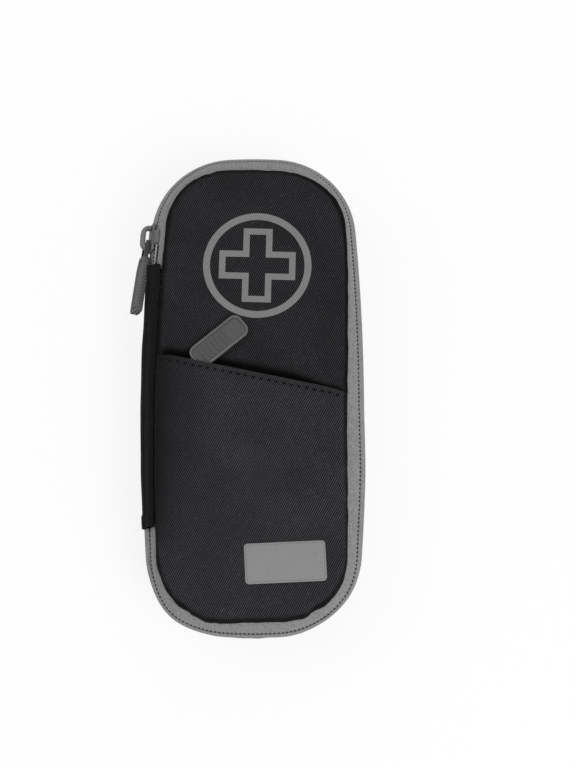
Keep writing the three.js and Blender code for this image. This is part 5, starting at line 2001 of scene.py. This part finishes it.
@dataclass
class PocketZipper:
    """Zipper under the hem: tapes, coils, slider and rubber tab."""

    tab_turn: float = 39.6
    tab_size: Point = (25.6, 10.0, 2.3)
    tab_shift: float = -0.7
    rib_size: Point = (0.75, 6.0, 0.6)
    rib_first: float = -8.6
    rib_pitch: float = 2.05

    def build(self) -> None:
        """Build and dress the pocket zipper."""
        for part in ("upper", "lower"):
            tape = machined(f"pocket_zipper_tape_{part}", f"pocket_tape_{part}", 0.08)
            settle(tape, WEAR.dark_tape, "lid", "zipper_tape", f"pocket_zipper_tape_{part}")
            coil = machined(f"pocket_zipper_coil_{part}", f"pocket_coil_{part}", 0.3)
            settle(coil, WEAR.dark_coil, "lid", "zipper_coil", f"pocket_zipper_coil_{part}")
        for part, edge in (("slider_body", 0.2), ("slider_crown", 0.18)):
            piece = machined(f"pocket_{part}", f"pocket_{part}_metal", edge)
            settle(piece, WEAR.metal, "pocket_slider", "gunmetal", f"pocket_{part}")
        eye = machined("pocket_pull_link", "pocket_pull_eye", 0.12)
        settle(eye, WEAR.dark_coil, "pocket_pull", "gunmetal", "pocket_pull_link")
        self.tab()

    def tab(self) -> None:
        """Rubber tab: a raised rim round a stippled field with ribs across it."""
        low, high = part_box("pocket_pull_grip")
        centre = (Vector(low) + Vector(high)) / 2.0
        tab = slab("pocket_tab", self.tab_size, 3.2, 0.35, 8)
        sink(tab, 0.6, 0.55, 0.25)
        sink(tab, 0.9, 0.4, 0.25, up=False)
        # The raised rim takes the paler rubber, a painted highlight; the sunk field keeps the tab's rubber.
        for face in tab.data.polygons:
            inside = face.normal.z > 0.9 and face.center.z < (self.tab_size[2] / 2.0 - 0.4) * MM
            face.material_index = 0 if inside else 1
        ribs = []
        for k in range(7):
            rib = slab(f"tab_rib_{k}", self.rib_size, 0.3, 0.15, 3)
            put(rib, shift(self.rib_first + self.rib_pitch * k, 0.0, 0.75))
            rib.data.materials.append(WEAR.tab)
            ribs.append(rib)
        tab.data.materials.append(WEAR.tab)
        tab.data.materials.append(WEAR.rim_highlight_rubber)
        piece = merge([tab, *ribs], "pocket_tab")
        put(piece, Matrix.Translation(centre) @ spin(self.tab_turn, "Z") @ shift(self.tab_shift, 0.0, 0.0))
        smooth(piece, 35.0)
        settle(piece, WEAR.tab, "pocket_pull", "rubber", "pocket_pull_grip")


@dataclass
class MainSlider:
    """Main slider with its crown, top plate, link and ribbed pull."""

    pin: Point = (-44.6762, 61.8057, 30.8893)
    along: Point = (-0.1298, -0.9913, 0.0209)
    across: Point = (0.455, -0.04, 0.89)
    reach: float = 18.2
    plate_y: float = 63.9
    plate_size: Point = (5.9, 3.5, 1.0)
    size: Point = (24.2, 8.5, 2.5)
    neck: float = -6.5
    bump_first: float = -5.2
    bump_pitch: float = 1.35

    def build(self) -> None:
        """Build and dress the slider."""
        for part, edge in (("body", 0.35), ("crown", 0.4)):
            piece = machined(f"main_slider_{part}", f"main_slider_{part}_metal", edge)
            if part == "crown":
                modify(piece, "DISPLACE", strength=0.25 * MM, mid_level=0.0)
            settle(piece, WEAR.metal, "main_slider", "gunmetal", f"main_slider_{part}")
        self.plate()
        wire = machined("main_pull_link", "main_pull_wire", 0.2)
        settle(wire, WEAR.dark_coil, "main_pull", "gunmetal", "main_pull_link")
        self.pull()

    def plate(self) -> None:
        """Top plate of the slider, over the tape."""
        zipper = MainZipper()
        station = OUTLINE.station(OUTLINE.corner_distance(self.plate_y))
        plate = slab("main_slider_plate", self.plate_size, 0.5, 0.2, 4)
        put(plate, station.frame(*zipper.on_tape(station, 0.21, 0.7)) @ spin(-zipper.lean, "X"))
        smooth(plate, 35.0)
        settle(plate, WEAR.metal, "main_slider", "gunmetal")

    def pull(self) -> None:
        """Rubber pull: a narrow neck, a flat field on each face and small grip bumps along its edges."""
        _, width, thick = self.size
        pull = slab("main_pull_rubber", self.size, 1.3, 0.45, 5)
        sink(pull, 1.0, 0.25, 0.3)
        sink(pull, 1.0, 0.25, 0.3, up=False)
        edit(pull, "VERT")
        for x in (self.neck, 8.5):
            slice_at((x, 0.0, 0.0), (1.0, 0.0, 0.0))
        close_edit()
        for vertex in pull.data.vertices:
            x = vertex.co.x / MM
            if x < self.neck:
                vertex.co.y *= 1.0 - 0.25 * ease((self.neck - x) / 4.5)
        pull.data.materials.append(WEAR.rubber)
        bars = []
        for k in range(11):
            for side in (-1.0, 1.0):
                bar = slab(f"pull_bump_{k}", (0.8, 1.2, thick - 0.5), 0.3, 0.25, 3)
                put(bar, shift(self.bump_first + self.bump_pitch * k, side * (width / 2.0 - 0.1), 0.0))
                bar.data.materials.append(WEAR.rubber)
                bars.append(bar)
        piece = merge([pull, *bars], "main_pull_rubber")
        x = Vector(self.along).normalized()
        y = Vector(self.across).normalized()
        z = x.cross(y).normalized()
        turn = Matrix((x, y, z)).transposed().to_4x4()
        put(piece, Matrix.Translation((Vector(self.pin) + x * self.reach) * MM) @ turn)
        smooth(piece, 35.0)
        settle(piece, WEAR.rubber, "main_pull", "rubber", "main_pull_grip")


@dataclass
class CardWindow:
    """Clear window on the back with its weld, its bead and a card."""

    left: float = -38.1
    right: float = 36.0
    half: float = 52.0
    weld: float = 4.5
    card: Point = (55.0, 90.0, 0.4)
    card_x: float = -6.5
    band: float = 11.0
    plus: tuple[float, float] = (-17.5, -37.5)

    def build(self) -> None:
        """Build and dress the window and the card."""
        middle = (self.left + self.right) / 2.0
        wide = self.right - self.left
        pane = slab("window_pane", (wide, 2.0 * self.half, 0.5), 2.0, 0.12)
        put(pane, shift(middle, 0.0, 0.25))
        smooth(pane)
        settle(pane, WEAR.vinyl, "tub", "clear_vinyl", "id_window")
        self.border(middle, wide)
        bead = slab("window_bead", (1.4, 2.0 * self.half, 0.6), 0.3, 0.2, 3)
        put(bead, shift(self.left - 0.7, 0.0, 0.3))
        smooth(bead)
        settle(bead, WEAR.bead, "tub", "clear_vinyl", "id_window_bead")
        self.printed_card()

    def border(self, middle: float, wide: float) -> None:
        """Welded border on three sides.

        Args:
            middle: Middle of the window across.
            wide: Its width.
        """
        deselect()
        bpy.ops.mesh.primitive_plane_add(size=1.0)
        border = named("window_weld")
        put(border, shift(middle, 0.0, 1.5) @ Matrix.Diagonal((wide * MM, 2 * self.half * MM, 1, 1)))
        edit(border, "FACE")
        side, end = self.right - self.weld, self.half - self.weld
        slice_at((side, 0.0, 0.0), (1.0, 0.0, 0.0))
        for y in (end, -end):
            slice_at((0.0, y, 0.0), (0.0, 1.0, 0.0))
        sheet = bmesh.from_edit_mesh(border.data)
        choose(border, sheet, lambda face: face.calc_center_median().x < side * MM
               and abs(face.calc_center_median().y) < end * MM)
        bpy.ops.mesh.delete(type="FACE")
        bpy.ops.mesh.select_all(action="SELECT")
        bpy.ops.mesh.extrude_region_move(TRANSFORM_OT_translate={"value": (0.0, 0.0, -1.0 * MM)})
        bpy.ops.mesh.select_all(action="SELECT")
        bpy.ops.mesh.normals_make_consistent(inside=False)
        close_edit()
        bevel(border, 0.2, 40.0)
        smooth(border)
        settle(border, WEAR.weld, "tub", "clear_vinyl", "id_window_border")

    def printed_card(self) -> None:
        """Card with a dark band, ruled lines and a plus sign."""
        card = slab("window_card", self.card, 0.9, 0.0, 6)
        wide, tall, thick = self.card
        marks = [((-wide / 2.0 + self.band / 2.0, 0.0), (self.band, tall))]
        marks += [((-9.0 + 6.4 * k, 7.0), (0.35, 62.0)) for k in range(6)]
        marks += [(self.plus, (8.0, 2.4)), (self.plus, (2.4, 8.0))]
        printed = []
        for k, ((x, y), (w, h)) in enumerate(marks):
            mark = slab(f"card_mark_{k}", (w, h, 0.03 + 0.004 * k), min(w / 4.0, h / 4.0, 0.85), 0.0, 2)
            if w == self.band:
                for vertex in mark.data.vertices:
                    share = 0.65 + 0.35 * vertex.co.y / (tall / 2.0 * MM)
                    vertex.co.x = (vertex.co.x + self.band / 2.0 * MM) * share - self.band / 2.0 * MM
            put(mark, shift(x, y, -thick / 2.0))
            mark.data.materials.append(WEAR.card_ink)
            printed.append(mark)
        card.data.materials.append(WEAR.card)
        piece = merge([card, *printed], "window_card")
        put(piece, shift(self.card_x, 0.0, 1.0))
        smooth(piece)
        settle(piece, WEAR.card, "id_card", "card", "id_card")


@dataclass
class LidInside:
    """Inside of the lid: lining, net pocket, its trim and the gel pack."""

    edge: float = 8.2
    lining: float = 34.7
    net_inset: float = 9.5
    net_foot: float = 34.4
    net_depth: float = 7.5
    net_top: float = 12.0
    trim_half: float = 35.9
    trim_low: float = 12.2
    trim_width: float = 8.2
    pouch: Point = (51.0, 97.0, 2.6)
    pouch_rim: float = 2.0

    def build(self) -> None:
        """Build and dress the inside of the lid."""
        self.padding()
        self.net()
        self.trim()
        self.gel()

    def lining_height(self, depth: float) -> float:
        """Height of the lining at a depth inside its edge."""
        return self.lining + 1.2 * (1.0 - ease(depth / 3.2))

    def padding(self) -> None:
        """Foam-backed lining that looks down."""
        insets = [*(self.edge + 0.8 * k for k in range(5)), 13.0, 17.0, 22.0, 27.0, 33.0]
        pad = from_bmesh("lid_padding", ringed(insets, self.lining_height, down=True, seam=SEAM))
        thicken(pad, 1.6)
        smooth(pad)
        settle(pad, WEAR.foil, "lid", "insulation", "lid_lining", "lid_foam")

    def net_height(self, x: float, y: float) -> float:
        """Height of the net bag at a point."""
        return self.net_foot - self.net_depth * ease((OUTLINE.inset_of(x, y) - self.net_inset) / 9.5)

    def net(self) -> None:
        """Net bag over the gel pack."""
        insets = [self.net_inset + 0.02, *(10.5 + k for k in range(10)), 22.0, 26.0, 30.0, 33.0]
        sheet = ringed(insets, lambda depth: self.net_foot, 2.6, down=True)
        cut_line(sheet, (0.0, self.net_top), (0.0, 1.0), True)
        for y in (0.0, -12.0, 8.0, 4.0):
            cut_line(sheet, (0.0, y), (0.0, 1.0), False)
        for vertex in sheet.verts:
            vertex.co.z = self.net_height(vertex.co.x / MM, vertex.co.y / MM) * MM
        net = from_bmesh("net_bag", sheet)
        smooth(net)
        settle(net, WEAR.net, "lid", "netting", "mesh_pocket")

    def trim(self) -> None:
        """Elastic trim along the mouth of the net bag."""
        rows, columns = 61, 5
        points = []
        for i in range(rows):
            x = -self.trim_half + 2.0 * self.trim_half * i / (rows - 1)
            z = self.net_height(x, 16.0) - 0.45
            ys = [self.trim_low + self.trim_width * k / (columns - 1) for k in range(columns)]
            points.append([(x * MM, y * MM, z * MM) for y in ys])
        along = [1.3 * i for i in range(rows)]
        trim = web("net_trim", points, along, [[2.0 * k for k in range(columns)]] * rows, flip=True)
        thicken(trim, 0.9)
        smooth(trim)
        settle(trim, WEAR.elastic, "lid", "elastic", "mesh_pocket_trim")

    def pouch_depth(self, x: float, y: float) -> float:
        """Distance of a point inside the edge of the gel pack, in millimetres."""
        return min(self.pouch[0] / 2.0 - abs(x), self.pouch[1] / 2.0 - abs(y))

    def gel(self) -> None:
        """Gel pack: a film pouch that its filling swells, inside a flat sealed rim."""
        pouch = slab("gel_pouch", self.pouch, 9.0, 0.4, 6)
        edit(pouch, "FACE")
        for k in range(-11, 12):
            slice_at((0.0, k * 4.2, 0.0), (0.0, 1.0, 0.0))
        for k in range(-5, 6):
            slice_at((k * 4.4, 0.0, 0.0), (1.0, 0.0, 0.0))
        close_edit()
        modify(pouch, "SUBSURF", levels=1, render_levels=1, subdivision_type="SIMPLE")
        for vertex in pouch.data.vertices:
            x, y = vertex.co.x / MM, vertex.co.y / MM
            fill = roll(ease((self.pouch_depth(x, y) - self.pouch_rim) / 8.0))
            wave = noise.noise(Vector((x / 9.0, y / 9.0, 2.0)))
            vertex.co.z *= 0.35 + 1.9 * fill + 0.25 * wave * fill
        puff(pouch, lambda x, y: self.pouch_depth(x, y) < self.pouch_rim, 3.0, 0.4)
        put(pouch, shift(0.0, -25.0, 31.0))
        smooth(pouch, 60.0)
        settle(pouch, WEAR.gel, "lid", "gel_film", "gel_pack")


@dataclass
class Studio:
    """Floor, lights, world and camera."""

    tilt: float = 11.0
    yaw: float = 0.43
    roll: float = -0.15
    distance: float = 525.3
    focal: float = 1282.0
    centre: tuple[float, float] = (253.1, 389.3)
    photo: tuple[float, float] = (576.0, 768.0)
    sensor: float = 36.0
    aim: Point = (0.0, 0.0, 30.0)
    sky: float = 0.38
    lamps: tuple[tuple[str, Point, float, float], ...] = (
        ("key_lamp", (0.35, -0.4, 0.8), 0.5, 5.0),
        ("fill_lamp", (-0.55, 0.2, 0.7), 0.6, 2.0),
        ("top_lamp", (0.1, 0.75, 0.6), 0.6, 1.2),
    )

    def build(self) -> None:
        """Build the studio."""
        self.floor()
        self.world()
        self.lights()
        self.camera()

    @staticmethod
    def seen(board: Board) -> Socket:
        """Mask of the rays that show the surroundings: camera, gloss and transmission.

        Args:
            board: The board that gets the nodes.

        Returns:
            The mask.
        """
        rays = board.node("ShaderNodeLightPath").outputs
        mask = board.sum("MAXIMUM", rays["Is Camera Ray"], rays["Is Glossy Ray"])
        return board.sum("MAXIMUM", mask, rays["Is Transmission Ray"])

    def floor(self) -> None:
        """Pale floor that keeps a faint shadow."""
        deselect()
        bpy.ops.mesh.primitive_plane_add(size=6.0, location=(0.0, 0.0, -0.0003))
        floor = named("studio_floor")
        material, board, shader, place = Finish("studio_floor").open()
        Finish.fix(shader, {"Base Color": grey(0.9), "Roughness": 0.9})
        glow = board.node("ShaderNodeEmission", {"Color": grey(1.0), "Strength": 1.0})
        away = board.node("ShaderNodeVectorMath", {0: place}, operation="LENGTH").outputs["Value"]
        share = board.node("ShaderNodeMapRange", {0: away, 1: 0.12, 2: 0.6, 3: 0.85, 4: 1.0}).outputs[0]
        share = board.times(self.seen(board), share)
        mix = board.node("ShaderNodeMixShader", {0: share, 1: shader.outputs[0], 2: glow.outputs[0]})
        board.tree.links.new(mix.outputs[0], material.node_tree.nodes["Material Output"].inputs[0])
        floor.data.materials.append(material)

    def world(self) -> None:
        """Soft light from all round, behind a white backdrop."""
        world = bpy.data.worlds.new("studio_world")
        world.use_nodes = True
        board = Board(world.node_tree)
        light = world.node_tree.nodes["Background"]
        Finish.fix(light, {"Color": grey(1.0), "Strength": self.sky})
        white = board.node("ShaderNodeBackground", {"Color": grey(1.0), "Strength": 1.0})
        mix = board.node("ShaderNodeMixShader", {0: self.seen(board), 1: light.outputs[0], 2: white.outputs[0]})
        board.tree.links.new(mix.outputs[0], world.node_tree.nodes["World Output"].inputs[0])
        bpy.context.scene.world = world

    def lights(self) -> None:
        """Three broad lamps, all aimed at the case."""
        for name, place, size, power in self.lamps:
            lamp = bpy.data.lights.new(name, "AREA")
            lamp.shape = "DISK"
            lamp.size = size
            lamp.energy = power
            holder = link(name, lamp)
            holder.location = place
            way = Vector(self.aim) * MM - Vector(place)
            holder.rotation_euler = way.to_track_quat("-Z", "Y").to_euler()

    def camera(self) -> None:
        """Camera at the photograph's angle, with its lens and shift reckoned for a frame of 576 by 768."""
        tilt, yaw, roll_angle = (math.radians(value) for value in (self.tilt, self.yaw, self.roll))
        right = Vector((math.cos(yaw), 0.0, -math.sin(yaw)))
        up = Vector((math.sin(yaw) * math.sin(tilt), math.cos(tilt), math.cos(yaw) * math.sin(tilt)))
        back = right.cross(up)
        turned_right = right * math.cos(roll_angle) - up * math.sin(roll_angle)
        turned_up = right * math.sin(roll_angle) + up * math.cos(roll_angle)
        wide, tall = self.photo
        data = bpy.data.cameras.new("photo_camera")
        data.sensor_width = self.sensor
        data.lens = self.focal * self.sensor / tall
        data.shift_x = (wide / 2.0 - self.centre[0]) / tall
        data.shift_y = (self.centre[1] - tall / 2.0) / tall
        data.clip_start = 0.01
        camera = link("photo_camera", data)
        turn = Matrix((turned_right, turned_up, back)).transposed().to_4x4()
        camera.matrix_world = Matrix.Translation((Vector(self.aim) + back * self.distance) * MM) @ turn
        bpy.context.scene.camera = camera


def main() -> None:
    """Build the studio and every sub-assembly in order."""
    logging.basicConfig(level=logging.INFO, format="%(name)s %(message)s")
    bpy.context.scene.view_settings.view_transform = "Standard"
    Studio().build()
    LidFront().build()
    MainZipper().build()
    Spine().build()
    MainSlider().build()
    PocketZipper().build()
    Tub().build()
    CardWindow().build()
    LidInside().build()


if __name__ == "__main__":
    main()
